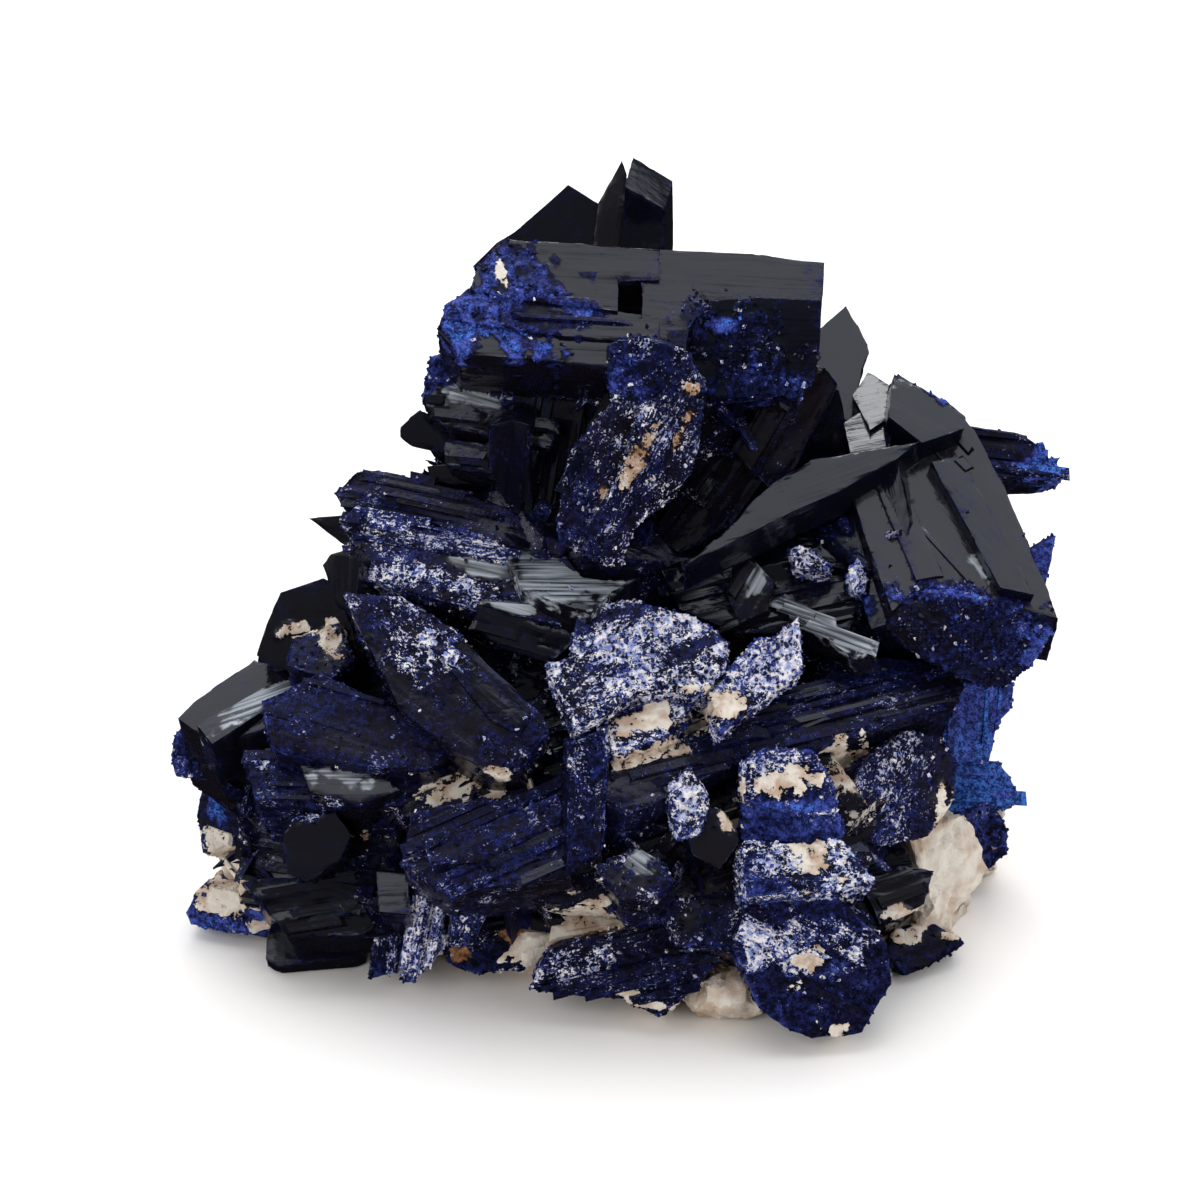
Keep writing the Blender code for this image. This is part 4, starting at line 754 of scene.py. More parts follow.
SMALL = namedtuple("SMALL", "foot along across up size finish extra")
LATH_POINTS = np.array([(x, y, -1) for x in (-0.5, 0.5) for y in (-0.5, 0.5)]
                       + [(x, y, 1) for x in (-0.42, 0.4) for y in (-0.36, 0.36)])
LATH_FACES = np.array([(0, 1, 3, 2), (4, 6, 7, 5), (0, 4, 5, 1), (2, 3, 7, 6), (0, 2, 6, 4),
                       (1, 5, 7, 3)])
SPROUT_POINTS = np.array([(x, y, z) for x, share in ((-0.3, 1), (0.72, 0.8))
                          for y, z in ((-share / 2, -share / 2), (share / 2, -share / 2),
                                       (share / 2, share / 2), (-share / 2, share / 2))]
                         + [(1.0, -0.3, 0), (0.93, 0.28, 0), (1.0, -0.3, 0.05), (0.93, 0.28, 0.05)])
SPROUT_FACES = np.array([(0, 3, 2, 1), (0, 1, 5, 4), (1, 2, 6, 5), (2, 3, 7, 6), (3, 0, 4, 7),
                         (4, 5, 9, 8), (6, 7, 10, 11), (5, 6, 11, 9), (7, 4, 8, 10), (8, 9, 11, 10)])


def joined(name, small_ones, points, faces, seed):
    """One mesh of many small crystals, each a turned and sized copy of the same few points."""
    draws = np.random.default_rng(seed)
    foot, along, across, up, size, finish, extra = [np.concatenate(part) for part in zip(*small_ones)]
    count = len(foot)
    local = points[None] * size[:, None, :]
    local = local * draws.uniform(0.86, 1.1, (count, len(points), 1))
    spots = (foot[:, None] + local[..., :1] * along[:, None] + local[..., 1:2] * across[:, None]
             + local[..., 2:] * up[:, None])
    corners = (faces[None] + np.arange(count)[:, None, None] * len(points)).ravel()
    mesh = bpy.data.meshes.new(name)
    mesh.vertices.add(count * len(points))
    mesh.loops.add(len(corners))
    mesh.polygons.add(count * len(faces))
    mesh.loops.foreach_set("vertex_index", corners.astype(np.int32))
    mesh.polygons.foreach_set("loop_start", np.arange(0, len(corners), 4, dtype=np.int32))
    set_points(mesh, spots.reshape(-1, 3))
    mesh.update(calc_edges=True)
    repeat = len(points)
    shift = draws.uniform(-40, 40, (count, 1, 3))
    store(mesh, "finish", "FLOAT_COLOR", np.repeat(finish, repeat, axis=0))
    store(mesh, "extra", "FLOAT_COLOR", np.repeat(extra, repeat, axis=0))
    store(mesh, "growth", "FLOAT_VECTOR", (local + shift).reshape(-1, 3) * MM)
    piece = bpy.data.objects.new(name, mesh)
    bpy.context.scene.collection.objects.link(piece)
    return piece


def turned_frames(along, up, draws, roll, pitch):
    """Square each small crystal's three directions, rolled and pitched a little by chance."""
    count = len(along)
    across = np.cross(up, along)
    up = up + across * draws.normal(0, roll, (count, 1)) + along * draws.normal(0, pitch, (count, 1))
    up /= np.linalg.norm(up, axis=1, keepdims=True)
    across = np.cross(up, along)
    across /= np.linalg.norm(across, axis=1, keepdims=True)
    return np.cross(across, up), across, up


def laths_on(name, look, outline, origin, along, across, normal, seed):
    """Thin laths along the growth lines of a face, each ending where the face does."""
    draws = np.random.default_rng(seed)
    low, high = outline.min(0), outline.max(0)
    count = int(look.laths * np.prod(high - low))
    places = draws.uniform(low, high, (count, 2))
    places = places[inside(outline, places)]
    count = len(places)
    if count == 0:
        return None
    reach = np.zeros((count, 2))
    wanted = draws.uniform(1.5, 9.0, (count, 2))
    for side, sign in enumerate((-1, 1)):
        free = np.ones(count, bool)
        for step in np.arange(0.5, 9.5, 0.5):
            ahead = places + (sign * step, 0)
            free &= inside(outline, ahead) & (step < wanted[:, side])
            reach[:, side] = np.where(free, step, reach[:, side])
    reach += draws.uniform(-0.1, 0.45, (count, 2))
    middle = places[:, 0] + (reach[:, 1] - reach[:, 0]) / 2
    length = np.maximum(reach.sum(axis=1), 0.8)
    foot = origin + middle[:, None] * along + places[:, 1:] * across
    frames = turned_frames(np.tile(along, (count, 1)), np.tile(normal, (count, 1)), draws, 0.10, 0.012)
    size = np.stack([length, draws.uniform(0.35, 1.5, count), draws.uniform(0.10, 0.34, count)], axis=1)
    at = finishes(name, look, foot)
    shade = draws.uniform(0.6, 1.3, count)
    # The lath's rim channel is set by chance; the shader paints light shining through thin edges from it.
    finish = np.stack([at.crust * shade, at.frost * shade, at.clay, draws.uniform(0, 0.5, count)], axis=1)
    # The sheen, a painted grey reflection, is scaled by the same chance as the crust and frost.
    extra = np.stack([at.rust, at.sheen * shade, shade * 0, draws.uniform(0, 1, count)], axis=1)
    return SMALL(foot, *frames, size, finish, extra)


def make_slab(slab, laths):
    """A crystal from its outline: an n-sided face on its tilted plane, extruded away from the observer."""
    middle_right = sum(point[0] for point in slab.outline) / len(slab.outline)
    middle_above = sum(point[1] for point in slab.outline) / len(slab.outline)
    normal = (NEARER - RIGHT * slab.tilt[0] - ABOVE * slab.tilt[1]).normalized()
    ray = seen(middle_right, middle_above) - EYE
    origin = EYE + ray * (VIEW_DISTANCE - slab.depth) / VIEW_DISTANCE
    backward = -normal * slab.thick + RIGHT * slab.push[0] + ABOVE * slab.push[1]
    deselect()
    bpy.ops.mesh.primitive_circle_add(vertices=len(slab.outline), radius=1, fill_type="NGON")
    piece = bpy.context.object
    piece.name = slab.name
    for corner, (right, above) in zip(piece.data.vertices, slab.outline):
        corner.co = intersect_line_plane(EYE, seen(right, above), origin, normal)
    corners = read(piece.data.vertices, "co", 3).astype(float)
    edit(piece)
    bpy.ops.mesh.extrude_region_move(TRANSFORM_OT_translate={"value": backward})
    bpy.ops.mesh.select_all(action="SELECT")
    bpy.ops.mesh.normals_make_consistent(inside=False)
    leave_edit()
    divide(piece, FRONT_DICE)
    angle = math.radians(slab.run)
    along = RIGHT * math.cos(angle) + ABOVE * math.sin(angle)
    along = (along - normal * normal.dot(along)).normalized()
    across = normal.cross(along)
    along, across, normal, origin = [np.array(part) for part in (along, across, normal, origin)]
    look = LOOKS[slab.look]
    seed = sum(map(ord, slab.name))
    weather(piece, look, along, across, seed)
    outline = np.stack([(corners - origin) @ along, (corners - origin) @ across], axis=1)
    laths.append(laths_on(slab.name, look, outline, origin, along, across, normal, seed))
    return piece


def make_blade(blade, look, laths, spacing=BACK_DICE):
    """A tapering bar from its root along its length, its tip bisected to a wedge."""
    deselect()
    bpy.ops.mesh.primitive_cube_add(size=1, location=(0, 0, 0))
    piece = bpy.context.object
    piece.name = blade.name
    for corner in piece.data.vertices:
        share = BLADE_TIP_SHARE if corner.co.x > 0 else 1
        corner.co = ((corner.co.x + 0.5) * blade.length, corner.co.y * blade.width * share,
                     corner.co.z * blade.thick * share)
    edit(piece)
    for side, slope in zip((1, -1), blade.slopes):
        bpy.ops.mesh.select_all(action="SELECT")
        cut = (math.sin(math.radians(slope)), side * math.cos(math.radians(slope)), 0.2 * side)
        bpy.ops.mesh.bisect(plane_co=(blade.length, 0, 0), plane_no=cut, use_fill=True,
                            clear_outer=True)
    leave_edit()
    turn = (Matrix.Rotation(math.radians(blade.compass), 4, "Z")
            @ Matrix.Rotation(-math.radians(blade.climb), 4, "Y")
            @ Matrix.Rotation(math.radians(blade.roll), 4, "X"))
    piece.data.transform(Matrix.Translation(blade.root) @ turn)
    divide(piece, spacing)
    along, across, up = [np.array(turn.col[axis].xyz) for axis in range(3)]
    seed = sum(map(ord, blade.name))
    weather(piece, look, along, across, seed)
    half, end = blade.width * 0.38, blade.length * 0.8
    outline = np.array([(0, -half), (end, -half), (end, half), (0, half)])
    for side in (-1, 1):
        origin = np.array(blade.root) + up * side * blade.thick * 0.45
        laths.append(laths_on(blade.name, look, outline, origin, along, across * side, up * side,
                              seed + side))
    return piece


def make_clod(name, middle, half_sizes, seed, look, spacing=BACK_DICE):
    """A rough lump: the hull of points scattered near an oval surface."""
    draws = random.Random(seed)
    corners = []
    for _ in range(CLOD_CORNERS):
        spot = Vector((draws.gauss(0, 1), draws.gauss(0, 1), draws.gauss(0, 1))).normalized()
        spot *= draws.uniform(0.85, 1)
        corners.append([axis * half + centre for axis, half, centre in zip(spot, half_sizes, middle)])
    mesh = bpy.data.meshes.new(name)
    mesh.from_pydata(corners, [], [])
    piece = bpy.data.objects.new(name, mesh)
    bpy.context.scene.collection.objects.link(piece)
    edit(piece)
    bpy.ops.mesh.convex_hull()
    leave_edit()
    divide(piece, spacing)
    weather(piece, look, np.array((1.0, 0, 0)), np.array((0, 1.0, 0)), seed=seed)
    return piece


def fuse(name, crystals):
    """Grow the crystals of one part of the specimen into one mesh."""
    group = bpy.data.collections.new(name + "_crystals")
    bpy.context.scene.collection.children.link(group)
    first, rest = crystals[0], crystals[1:]
    for crystal in rest:
        group.objects.link(crystal)
    apply_modifier(first, "BOOLEAN", operation="UNION", operand_type="COLLECTION",
                   collection=group, solver="MANIFOLD")
    for crystal in rest:
        bpy.data.objects.remove(crystal)
    bpy.data.collections.remove(group)
    first.name = name
    first.data.name = name
    heal_seams(first.data)
    return first


def heal_seams(mesh):
    """Give the points that fusing made the finish of a neighbour, because fusing leaves them blank."""
    ends = read(mesh.edges, "vertices", 2, np.int32)
    ends = np.concatenate([ends, ends[:, ::-1]])
    blank = read(mesh.attributes["extra"].data, "color", 4)[:, 2] > 0.01
    for name, kind, channel, width in (("finish", "FLOAT_COLOR", "color", 4),
                                       ("extra", "FLOAT_COLOR", "color", 4),
                                       ("cover", "FLOAT_VECTOR", "vector", 3),
                                       ("growth", "FLOAT_VECTOR", "vector", 3)):
        values = read(mesh.attributes[name].data, channel, width)
        left = blank.copy()
        for _ in range(6):
            useful = left[ends[:, 0]] & ~left[ends[:, 1]]
            values[ends[useful, 0]] = values[ends[useful, 1]]
            left[ends[useful, 0]] = False
        if name != "growth":
            values[left] = 0
        store(mesh, name, kind, values)


def chosen_spots(piece, channel, draws):
    """Spots on a fused piece, as thick as its cover attribute asks, with their finish."""
    mesh = piece.data
    starts = read(mesh.polygons, "loop_start", 1, np.int32)
    corner = read(mesh.loops, "vertex_index", 1, np.int32)[starts]
    finish = read(mesh.attributes["finish"].data, "color", 4)[corner]
    extra = read(mesh.attributes["extra"].data, "color", 4)[corner]
    cover = read(mesh.attributes["cover"].data, "vector", 3)[corner, channel]
    areas = read(mesh.polygons, "area", 1)
    chosen = draws.random(len(areas)) < areas * cover
    centres = read(mesh.polygons, "center", 3)[chosen].astype(float)
    normals = read(mesh.polygons, "normal", 3)[chosen].astype(float)
    return centres, normals, finish[chosen].astype(float), extra[chosen].astype(float)


def druse_on(piece, draws):
    """Tiny crystals that cover a coated face, some of them frosted."""
    centres, normals, finish, extra = chosen_spots(piece, 0, draws)
    count = len(centres)
    aim = normals * 0.5 + draws.normal(0, 0.6, (count, 3))
    aim /= np.linalg.norm(aim, axis=1, keepdims=True)
    side = np.cross(aim, draws.normal(0, 1, (count, 3)))
    side /= np.linalg.norm(side, axis=1, keepdims=True)
    frames = turned_frames(side, aim, draws, 0.2, 0.2)
    size = draws.uniform((0.22, 0.16, 0.08), (0.62, 0.38, 0.20), (count, 3))
    frosted = draws.random(count) < finish[:, 1] * 0.30
    finish[:, 1] = np.where(frosted, 1.0, finish[:, 1] * 0.4)
    finish[:, 0] *= draws.uniform(0.6, 1.4, count)
    # The rim channel is set by chance, so some tiny crystals get painted light as if shining through their
    # edges.
    finish[:, 3] = draws.uniform(0, 0.6, count)
    return SMALL(centres + normals * 0.02, *frames, size, finish, extra)


def sprouts_on(piece, draws):
    """Small blades that stand out of the gaps between the large crystals."""
    centres, normals, finish, extra = chosen_spots(piece, 1, draws)
    count = len(centres)
    aim = normals + draws.normal(0, 0.65, (count, 3))
    aim /= np.linalg.norm(aim, axis=1, keepdims=True)
    up = np.cross(aim, draws.normal(0, 1, (count, 3)))
    up /= np.linalg.norm(up, axis=1, keepdims=True)
    frames = turned_frames(aim, up, draws, 0, 0)
    size = draws.uniform((1.6, 0.8, 0.35), (4.2, 2.1, 0.9), (count, 3))
    finish[:, 0] = draws.uniform(0.02, 0.5, count)
    finish[:, 1] = draws.uniform(0, 0.5, count)
    # The rim channel is set by chance, so some small blades get painted light as if shining through their
    # edges.
    finish[:, 3] = draws.uniform(0, 0.7, count)
    return SMALL(centres, *frames, size, finish, extra)


def cut_flat_below(piece, level=0.0):
    """Take off what lies under the flat cut."""
    if read(piece.data.vertices, "co", 3)[:, 2].min() >= level:
        return
    edit(piece)
    bpy.ops.mesh.bisect(plane_co=(0, 0, level), plane_no=(0, 0, -1), use_fill=True, clear_outer=True)
    leave_edit()


def finish_piece(piece, material, node):
    """Scale a finished mesh to metres within the model's bounds, shade it, attach it to the root body and
    hide the model part it replaces.
    """
    low, high = [np.array(corner) / MM for corner in cad_box]
    points = read(piece.data.vertices, "co", 3)
    set_points(piece.data, np.clip(points, low, high))
    piece.data.transform(Matrix.Scale(MM, 4))
    piece.data.materials.clear()
    piece.data.materials.append(material)
    select_only(piece)
    bpy.ops.object.shade_smooth_by_angle(angle=math.radians(32))
    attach(piece, ROOT)
    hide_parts(node)


class Nodes:
    """A small helper that adds shader nodes and joins them."""

    def __init__(self, name):
        self.material = bpy.data.materials.new(name)
        self.material.use_nodes = True
        self.tree = self.material.node_tree
        self.shader = self.tree.nodes["Principled BSDF"]

    def feed(self, socket, value):
        if isinstance(value, bpy.types.NodeSocket):
            self.tree.links.new(value, socket)
        else:
            socket.default_value = value

    def add(self, kind, inputs=None, **settings):
        node = self.tree.nodes.new("ShaderNode" + kind)
        for name, value in settings.items():
            setattr(node, name, value)
        for name, value in (inputs or {}).items():
            self.feed(node.inputs[name], value)
        return node

    def noise(self, vector, scale, detail=2.0, roughness=0.5):
        node = self.add("TexNoise", {"Vector": vector, "Scale": scale, "Detail": detail,
                                     "Roughness": roughness})
        return node.outputs["Fac"]

    def ramp(self, value, low, high, start=0.0, end=1.0):
        node = self.add("MapRange", {"Value": value, "From Min": low, "From Max": high,
                                     "To Min": start, "To Max": end},
                        interpolation_type="SMOOTHSTEP")
        return node.outputs["Result"]

    def maths(self, operation, first, second=0.0):
        node = self.add("Math", operation=operation)
        self.feed(node.inputs[0], first)
        self.feed(node.inputs[1], second)
        return node.outputs[0]

    def weighed(self, *pairs):
        """The sum of values, each times its weight."""
        total = self.maths("MULTIPLY", *pairs[0])
        for value, weight in pairs[1:]:
            total = self.maths("ADD", total, self.maths("MULTIPLY", value, weight))
        return total

    def mix(self, share, first, second):
        node = self.add("Mix", data_type="RGBA")
        self.feed(node.inputs[0], share)
        self.feed(node.inputs[6], first)
        self.feed(node.inputs[7], second)
        return node.outputs[2]

    def stretched(self, vector, scale):
        return self.add("Mapping", {"Vector": vector, "Scale": scale}).outputs["Vector"]

    def channels(self, name):
        field = self.add("Attribute", attribute_name=name)
        parts = self.add("SeparateColor", {"Color": field.outputs["Color"]}).outputs
        return parts[0], parts[1], parts[2], field.outputs["Alpha"]

    def bump(self, height, strength, distance, normal=None):
        node = self.add("Bump", {"Height": height, "Strength": strength, "Distance": distance})
        if normal is not None:
            self.feed(node.inputs["Normal"], normal)
        return node.outputs["Normal"]


def azurite_material():
    """Near-black glossy azurite that turns cobalt and frosted white where its crust is rough; its brightest
    blue is partly painted light through thin edges, its grey sheen a painted reflection.
    """
    nodes = Nodes("azurite")
    place = nodes.add("TexCoord").outputs["Object"]
    growth = nodes.add("Attribute", attribute_name="growth").outputs["Vector"]
    crust, frost, clay, rim = nodes.channels("finish")
    rust, sheen, _, tint = nodes.channels("extra")
    lines = nodes.noise(nodes.stretched(growth, (110, 2400, 2400)), 1.0, 3.0)
    flecks = nodes.noise(nodes.stretched(growth, (1900, 3800, 3800)), 1.0, 2.0, 0.65)
    fine = nodes.noise(place, 5200, 2.0, 0.6)
    grains = nodes.noise(place, 1700, 2.0, 0.55)
    patches = nodes.noise(place, 520, 3.0)
    drifts = nodes.noise(place, 130, 2.0)

    # The rim share lifts edges toward cobalt and a little toward frost: painted light shining through thin
    # crystal edges.
    blue_level = nodes.weighed((crust, 0.80), (patches, 0.50), (drifts, 0.35), (grains, 0.35),
                               (rim, 0.22))
    blue_mask = nodes.ramp(blue_level, 0.66, 1.25)
    frost_level = nodes.weighed((flecks, 0.55), (fine, 0.45), (patches, 0.34), (drifts, 0.16),
                                (frost, 0.23), (rim, 0.03))
    frost_mask = nodes.maths("MULTIPLY", nodes.ramp(frost_level, 0.925, 0.975),
                             nodes.ramp(frost, 0.04, 0.14))
    clay_level = nodes.weighed((patches, 0.35), (grains, 0.35), (fine, 0.20), (clay, 0.40))
    clay_mask = nodes.ramp(clay_level, 0.72, 0.76)

    dark = nodes.mix(tint, (0.0016, 0.0022, 0.0060, 1), (0.0065, 0.0045, 0.0065, 1))
    # Sparkle: lighter blue grains, partly the crust's own grain colour, partly painted glints of light on
    # tiny facets.
    sparkle = nodes.ramp(nodes.weighed((grains, 0.45), (fine, 0.55)), 0.42, 0.60)
    navy = nodes.mix(sparkle, (0.0016, 0.0020, 0.010, 1), (0.010, 0.015, 0.105, 1))
    # Cobalt and azure: the crust's blue, whose brightest tones partly stand in for light shining through
    # thin crystal.
    cobalt = nodes.mix(sparkle, (0.018, 0.026, 0.140, 1), (0.070, 0.110, 0.500, 1))
    azure = nodes.mix(sparkle, (0.0060, 0.0180, 0.110, 1), (0.055, 0.170, 0.600, 1))
    cobalt = nodes.mix(nodes.ramp(crust, 1.00, 1.20), cobalt, azure)
    blue = nodes.mix(nodes.ramp(blue_level, 1.0, 1.6), navy, cobalt)
    soft = nodes.mix(nodes.ramp(grains, 0.35, 0.62), (0.12, 0.15, 0.36, 1), (0.36, 0.33, 0.34, 1))
    snow = nodes.mix(nodes.ramp(grains, 0.35, 0.62), (0.20, 0.25, 0.52, 1), (0.78, 0.73, 0.72, 1))
    white = nodes.mix(nodes.ramp(frost, 0.30, 0.75), soft, snow)
    cream = nodes.mix(nodes.ramp(patches, 0.38, 0.62), (0.46, 0.33, 0.24, 1), (0.72, 0.65, 0.56, 1))
    stain = nodes.mix(grains, (0.12, 0.035, 0.010, 1), (0.38, 0.20, 0.09, 1))
    # Painted reflection: grey along the growth lines where the sheen asks for it, standing in for the
    # mirrored bright sky.
    painted_reflection = nodes.mix(nodes.ramp(lines, 0.32, 0.70), (0.012, 0.016, 0.024, 1), (0.350, 0.375, 0.410, 1))
    sheen_level = nodes.weighed((sheen, 0.8), (lines, 0.9), (patches, 0.5))
    sheen_mask = nodes.maths("MULTIPLY", nodes.ramp(sheen_level, 0.75, 1.45),
                             nodes.ramp(sheen, 0.10, 0.60))
    colour = nodes.mix(blue_mask, dark, blue)
    colour = nodes.mix(sheen_mask, colour, painted_reflection)
    colour = nodes.mix(frost_mask, colour, white)
    colour = nodes.mix(clay_mask, colour, cream)
    colour = nodes.mix(nodes.ramp(nodes.weighed((rust, 0.8), (grains, 0.6)), 0.55, 0.85), colour, stain)
    nodes.feed(nodes.shader.inputs["Base Color"], colour)

    coated = nodes.maths("MAXIMUM", blue_mask, nodes.ramp(crust, 0.14, 0.42))
    nodes.feed(nodes.shader.inputs["Specular IOR Level"], nodes.ramp(coated, 0, 1, 0.5, 0.10))
    rough = nodes.ramp(coated, 0, 1, 0.14, 0.40)
    rough = nodes.maths("MAXIMUM", rough, nodes.maths("MULTIPLY", frost_mask, 0.8))
    rough = nodes.maths("MAXIMUM", rough, nodes.maths("MULTIPLY", clay_mask, 0.95))
    nodes.feed(nodes.shader.inputs["Roughness"], rough)
    nodes.shader.inputs["IOR"].default_value = 1.6
    height = nodes.weighed((nodes.maths("MULTIPLY", grains, blue_mask), 1.0), (frost_mask, 0.4))
    streaks = nodes.noise(nodes.stretched(growth, (45, 520, 520)), 1.0, 2.0)
    bumped = nodes.bump(streaks, 0.22, 0.0004)
    bumped = nodes.bump(lines, 0.30, 0.00012, bumped)
    bumped = nodes.bump(height, 0.55, 0.00022, bumped)
    nodes.feed(nodes.shader.inputs["Normal"], bumped)
    return nodes.material


def clay_material():
    """Dry crumbly clay, cream with tan hollows and a few iron stains."""
    nodes = Nodes("clay")
    place = nodes.add("TexCoord").outputs["Object"]
    grains = nodes.noise(place, 2400, 4.0, 0.65)
    patches = nodes.noise(place, 330, 4.0)
    stains = nodes.noise(place, 150, 3.0)
    colour = nodes.mix(nodes.ramp(patches, 0.35, 0.65), (0.52, 0.39, 0.29, 1), (0.80, 0.73, 0.64, 1))
    colour = nodes.mix(nodes.ramp(stains, 0.60, 0.72, 0.0, 0.85), colour, (0.34, 0.14, 0.045, 1))
    colour = nodes.mix(nodes.ramp(grains, 0.62, 0.75, 0.0, 0.30), colour, (0.12, 0.14, 0.32, 1))
    nodes.feed(nodes.shader.inputs["Base Color"], colour)
    nodes.shader.inputs["Roughness"].default_value = 0.92
    bumped = nodes.bump(grains, 0.7, 0.0003)
    nodes.feed(nodes.shader.inputs["Normal"], bumped)
    return nodes.material


def finish_group(name, crystals, laths, azurite, seed):
    """Fuse one part of the specimen, then set its laths, tiny crystals and small blades on it."""
    draws = np.random.default_rng(seed)
    piece = fuse(name, crystals)
    laths = [part for part in laths if part is not None]
    pieces = [piece, joined(name + "_druse", [druse_on(piece, draws)], LATH_POINTS, LATH_FACES, seed)]
    if laths:
        pieces.append(joined(name + "_laths", laths, LATH_POINTS, LATH_FACES, seed + 1))
    sprouts = sprouts_on(piece, draws)
    if len(sprouts.foot):
        pieces.append(joined(name + "_sprouts", [sprouts], SPROUT_POINTS, SPROUT_FACES, seed + 2))
    for part in pieces:
        cut_flat_below(part)
        finish_piece(part, azurite, "azurite_cluster")


def make_crystals(azurite):
    """All crystals, in a few groups that each stand for part of the cluster."""
    groups = {
        "crown_crystals": top_crystals() + left_shoulder_crystals(),
        "hollow_crystals": hanging_leaves() + hollow_crystals(),
        "right_crystals": right_crystals(),
        "middle_plates": middle_plates(),
        "middle_bars": middle_bars(),
        "upper_left_crystals": upper_left_crystals(),
        "lower_left_crystals": lower_left_crystals(),
        "front_row_crystals": bottom_crystals(),
    }
    for seed, (name, slabs) in enumerate(groups.items(), start=10):
        laths = []
        finish_group(name, [make_slab(slab, laths) for slab in slabs], laths, azurite, seed)
    looks = ("lined", "navy", "blue_lined", "lined", "speckled", "blue_lined")
    laths = []
    blades = [make_blade(blade, LOOKS[looks[place % len(looks)]], laths)
              for place, blade in enumerate(side_and_back_blades())]
    third = math.ceil(len(blades) / 3)
    for place, name in enumerate(("low_back_crystals", "middle_back_crystals", "high_back_crystals")):
        start, end = place * third, (place + 1) * third
        finish_group(name, blades[start:end], laths[2 * start:2 * end], azurite, 20 + place)
    clods = [make_clod(f"core_clod_{place}", *clod, seed=place, look=LOOKS["bed"], spacing=CORE_DICE)
             for place, clod in enumerate(CORE_CLODS, start=1)]
    finish_group("core_crystals", clods, [], azurite, 23)


def make_clay(clay):
    """The clay: its flat-bottomed base and the clods that swell up between the crystals."""
    deselect()
    bpy.ops.mesh.primitive_circle_add(vertices=len(CLAY_FOOTPRINT), radius=1, fill_type="NGON")
    base = bpy.context.object
    for corner, (x, y) in zip(base.data.vertices, CLAY_FOOTPRINT):
        corner.co = (x, y, -2)
    edit(base)
    bpy.ops.mesh.extrude_region_move(TRANSFORM_OT_translate={"value": (0, 0, CLAY_HEIGHT + 2)})
    bpy.ops.transform.resize(value=(CLAY_TOP_SHARE, CLAY_TOP_SHARE, 1))
    bpy.ops.mesh.select_all(action="SELECT")
    bpy.ops.mesh.normals_make_consistent(inside=False)
    leave_edit()
    still = Look(*[0] * len(Look._fields))
    weather(base, still, np.array((1.0, 0, 0)), np.array((0, 1.0, 0)), seed=1)
    clods = [make_clod(f"clay_clod_{place}", *clod, seed=100 + place, look=still)
             for place, clod in enumerate(CLAY_CLODS, start=1)]
    clay_mass = fuse("clay_matrix_crumbled", [base] + clods)
    apply_modifier(clay_mass, "REMESH", mode="VOXEL", voxel_size=CLAY_VOXEL)
    points = read(clay_mass.data.vertices, "co", 3).astype(float)
    normals = read(clay_mass.data.vertices, "normal", 3)
    move = 0.45 * rough_noise(points * 0.28, 61, 3) + 0.22 * rough_noise(points * 1.1, 62, 3)
    cracks = np.clip(1 - np.abs(rough_noise(points * 0.45, 63, 2)) * 9, 0, 1)
    move -= 0.35 * cracks + 0.5
    set_points(clay_mass.data, points + normals * move[:, None])
    cut_flat_below(clay_mass)
    finish_piece(clay_mass, clay, "clay_matrix")


def make_sky():
    """A studio that is bright above and behind the specimen and dark toward the observer."""
    world = bpy.data.worlds.new("studio")
    world.use_nodes = True
    tree = world.node_tree
    background = tree.nodes["Background"]
    place = tree.nodes.new("ShaderNodeTexCoord")
    parts = tree.nodes.new("ShaderNodeSeparateXYZ")
    tree.links.new(place.outputs["Generated"], parts.inputs["Vector"])
    shares = []
    for axis, low, high, dim, bright in (("Z", 0.0, 0.6, 0.01, SKY_BRIGHT), ("Y", -0.55, -0.12, 0.10, 1.0)):
        share = tree.nodes.new("ShaderNodeMapRange")
        share.interpolation_type = "SMOOTHSTEP"
        share.inputs["From Min"].default_value = low
        share.inputs["From Max"].default_value = high
        share.inputs["To Min"].default_value = dim
        share.inputs["To Max"].default_value = bright
        tree.links.new(parts.outputs[axis], share.inputs["Value"])
        shares.append(share)
    strength = tree.nodes.new("ShaderNodeMath")
    strength.operation = "MULTIPLY"
    tree.links.new(shares[0].outputs["Result"], strength.inputs[0])
    tree.links.new(shares[1].outputs["Result"], strength.inputs[1])
    tree.links.new(strength.outputs[0], background.inputs["Strength"])
    background.inputs["Color"].default_value = (0.90, 0.96, 1.05, 1)
    bpy.context.scene.world = world


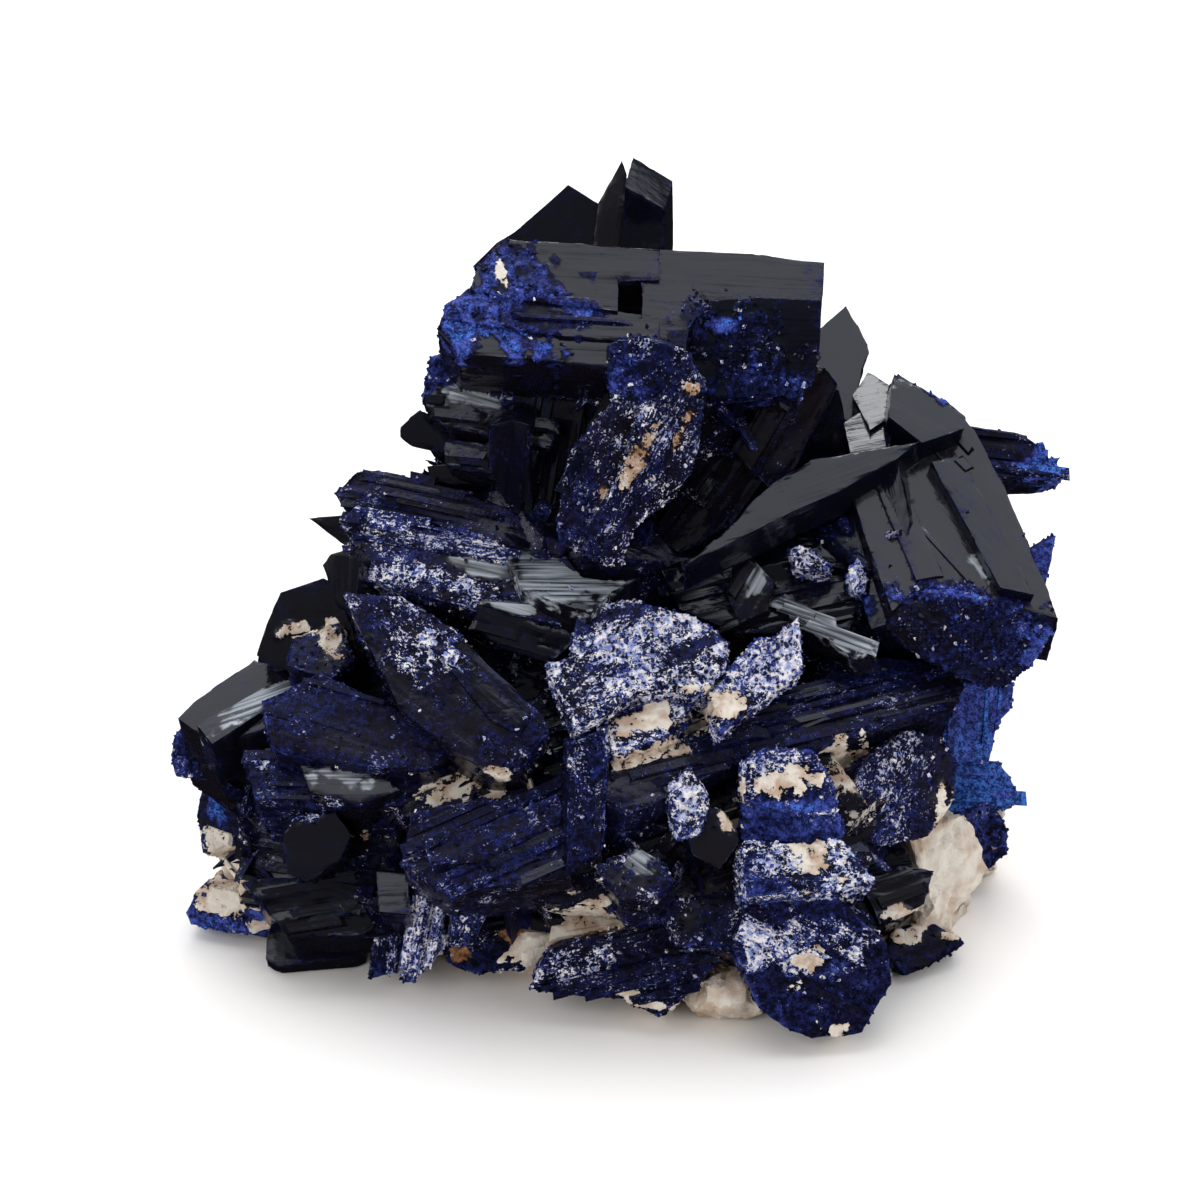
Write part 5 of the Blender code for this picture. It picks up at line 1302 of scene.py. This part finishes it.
def make_stage():
    """A white floor and soft lamps. The floor and the front lamps are not mirrored by the crystals."""
    deselect()
    bpy.ops.mesh.primitive_plane_add(size=6, location=(0, 0, -0.0002))
    floor = bpy.context.object
    floor.name = "floor"
    paper = bpy.data.materials.new("paper")
    paper.use_nodes = True
    shader = paper.node_tree.nodes["Principled BSDF"]
    shader.inputs["Base Color"].default_value = (0.975, 0.935, 0.890, 1)
    shader.inputs["Roughness"].default_value = 1
    shader.inputs["Specular IOR Level"].default_value = 0
    floor.data.materials.append(paper)
    floor.visible_glossy = False
    for name, place, size, power, mirrored in LAMPS:
        light = bpy.data.lights.new(name, "AREA")
        light.shape = "RECTANGLE"
        light.size, light.size_y = size
        light.energy = power
        lamp = bpy.data.objects.new(name, light)
        bpy.context.scene.collection.objects.link(lamp)
        lamp.location = place
        lamp.rotation_mode = "QUATERNION"
        lamp.rotation_quaternion = (Vector(place) - Vector((0, 0, 0.04))).to_track_quat("Z", "Y")
        lamp.visible_glossy = mirrored


def make_camera():
    camera = bpy.data.cameras.new("camera")
    camera.sensor_width = 36
    camera.lens = 36 * VIEW_DISTANCE / PICTURE_WIDTH
    camera.clip_start = 0.01
    eye = bpy.data.objects.new("camera", camera)
    bpy.context.scene.collection.objects.link(eye)
    stand = Matrix((RIGHT, ABOVE, NEARER)).transposed().to_4x4()
    stand.translation = EYE * MM
    eye.matrix_world = stand
    bpy.context.scene.camera = eye
    bpy.context.scene.view_settings.view_transform = "Standard"
    bpy.context.scene.view_settings.look = "None"


SKY_BRIGHT = 1.15
LAMPS = [
    # (name, place, (width, depth), watts, mirrored by the crystals)
    ("back_panel", (0.05, 0.58, 0.72), (0.5, 0.35), 2.2, True),
    ("overhead_fill", (0.0, 0.2, 1.0), (0.9, 0.9), 4.0, False),
    ("front_left_fill", (-0.6, -0.9, 0.7), (0.8, 0.8), 6.0, False),
    ("front_right_fill", (0.8, -0.7, 0.6), (0.8, 0.8), 4.0, False),
]

make_camera()
make_sky()
make_stage()
make_crystals(azurite_material())
make_clay(clay_material())
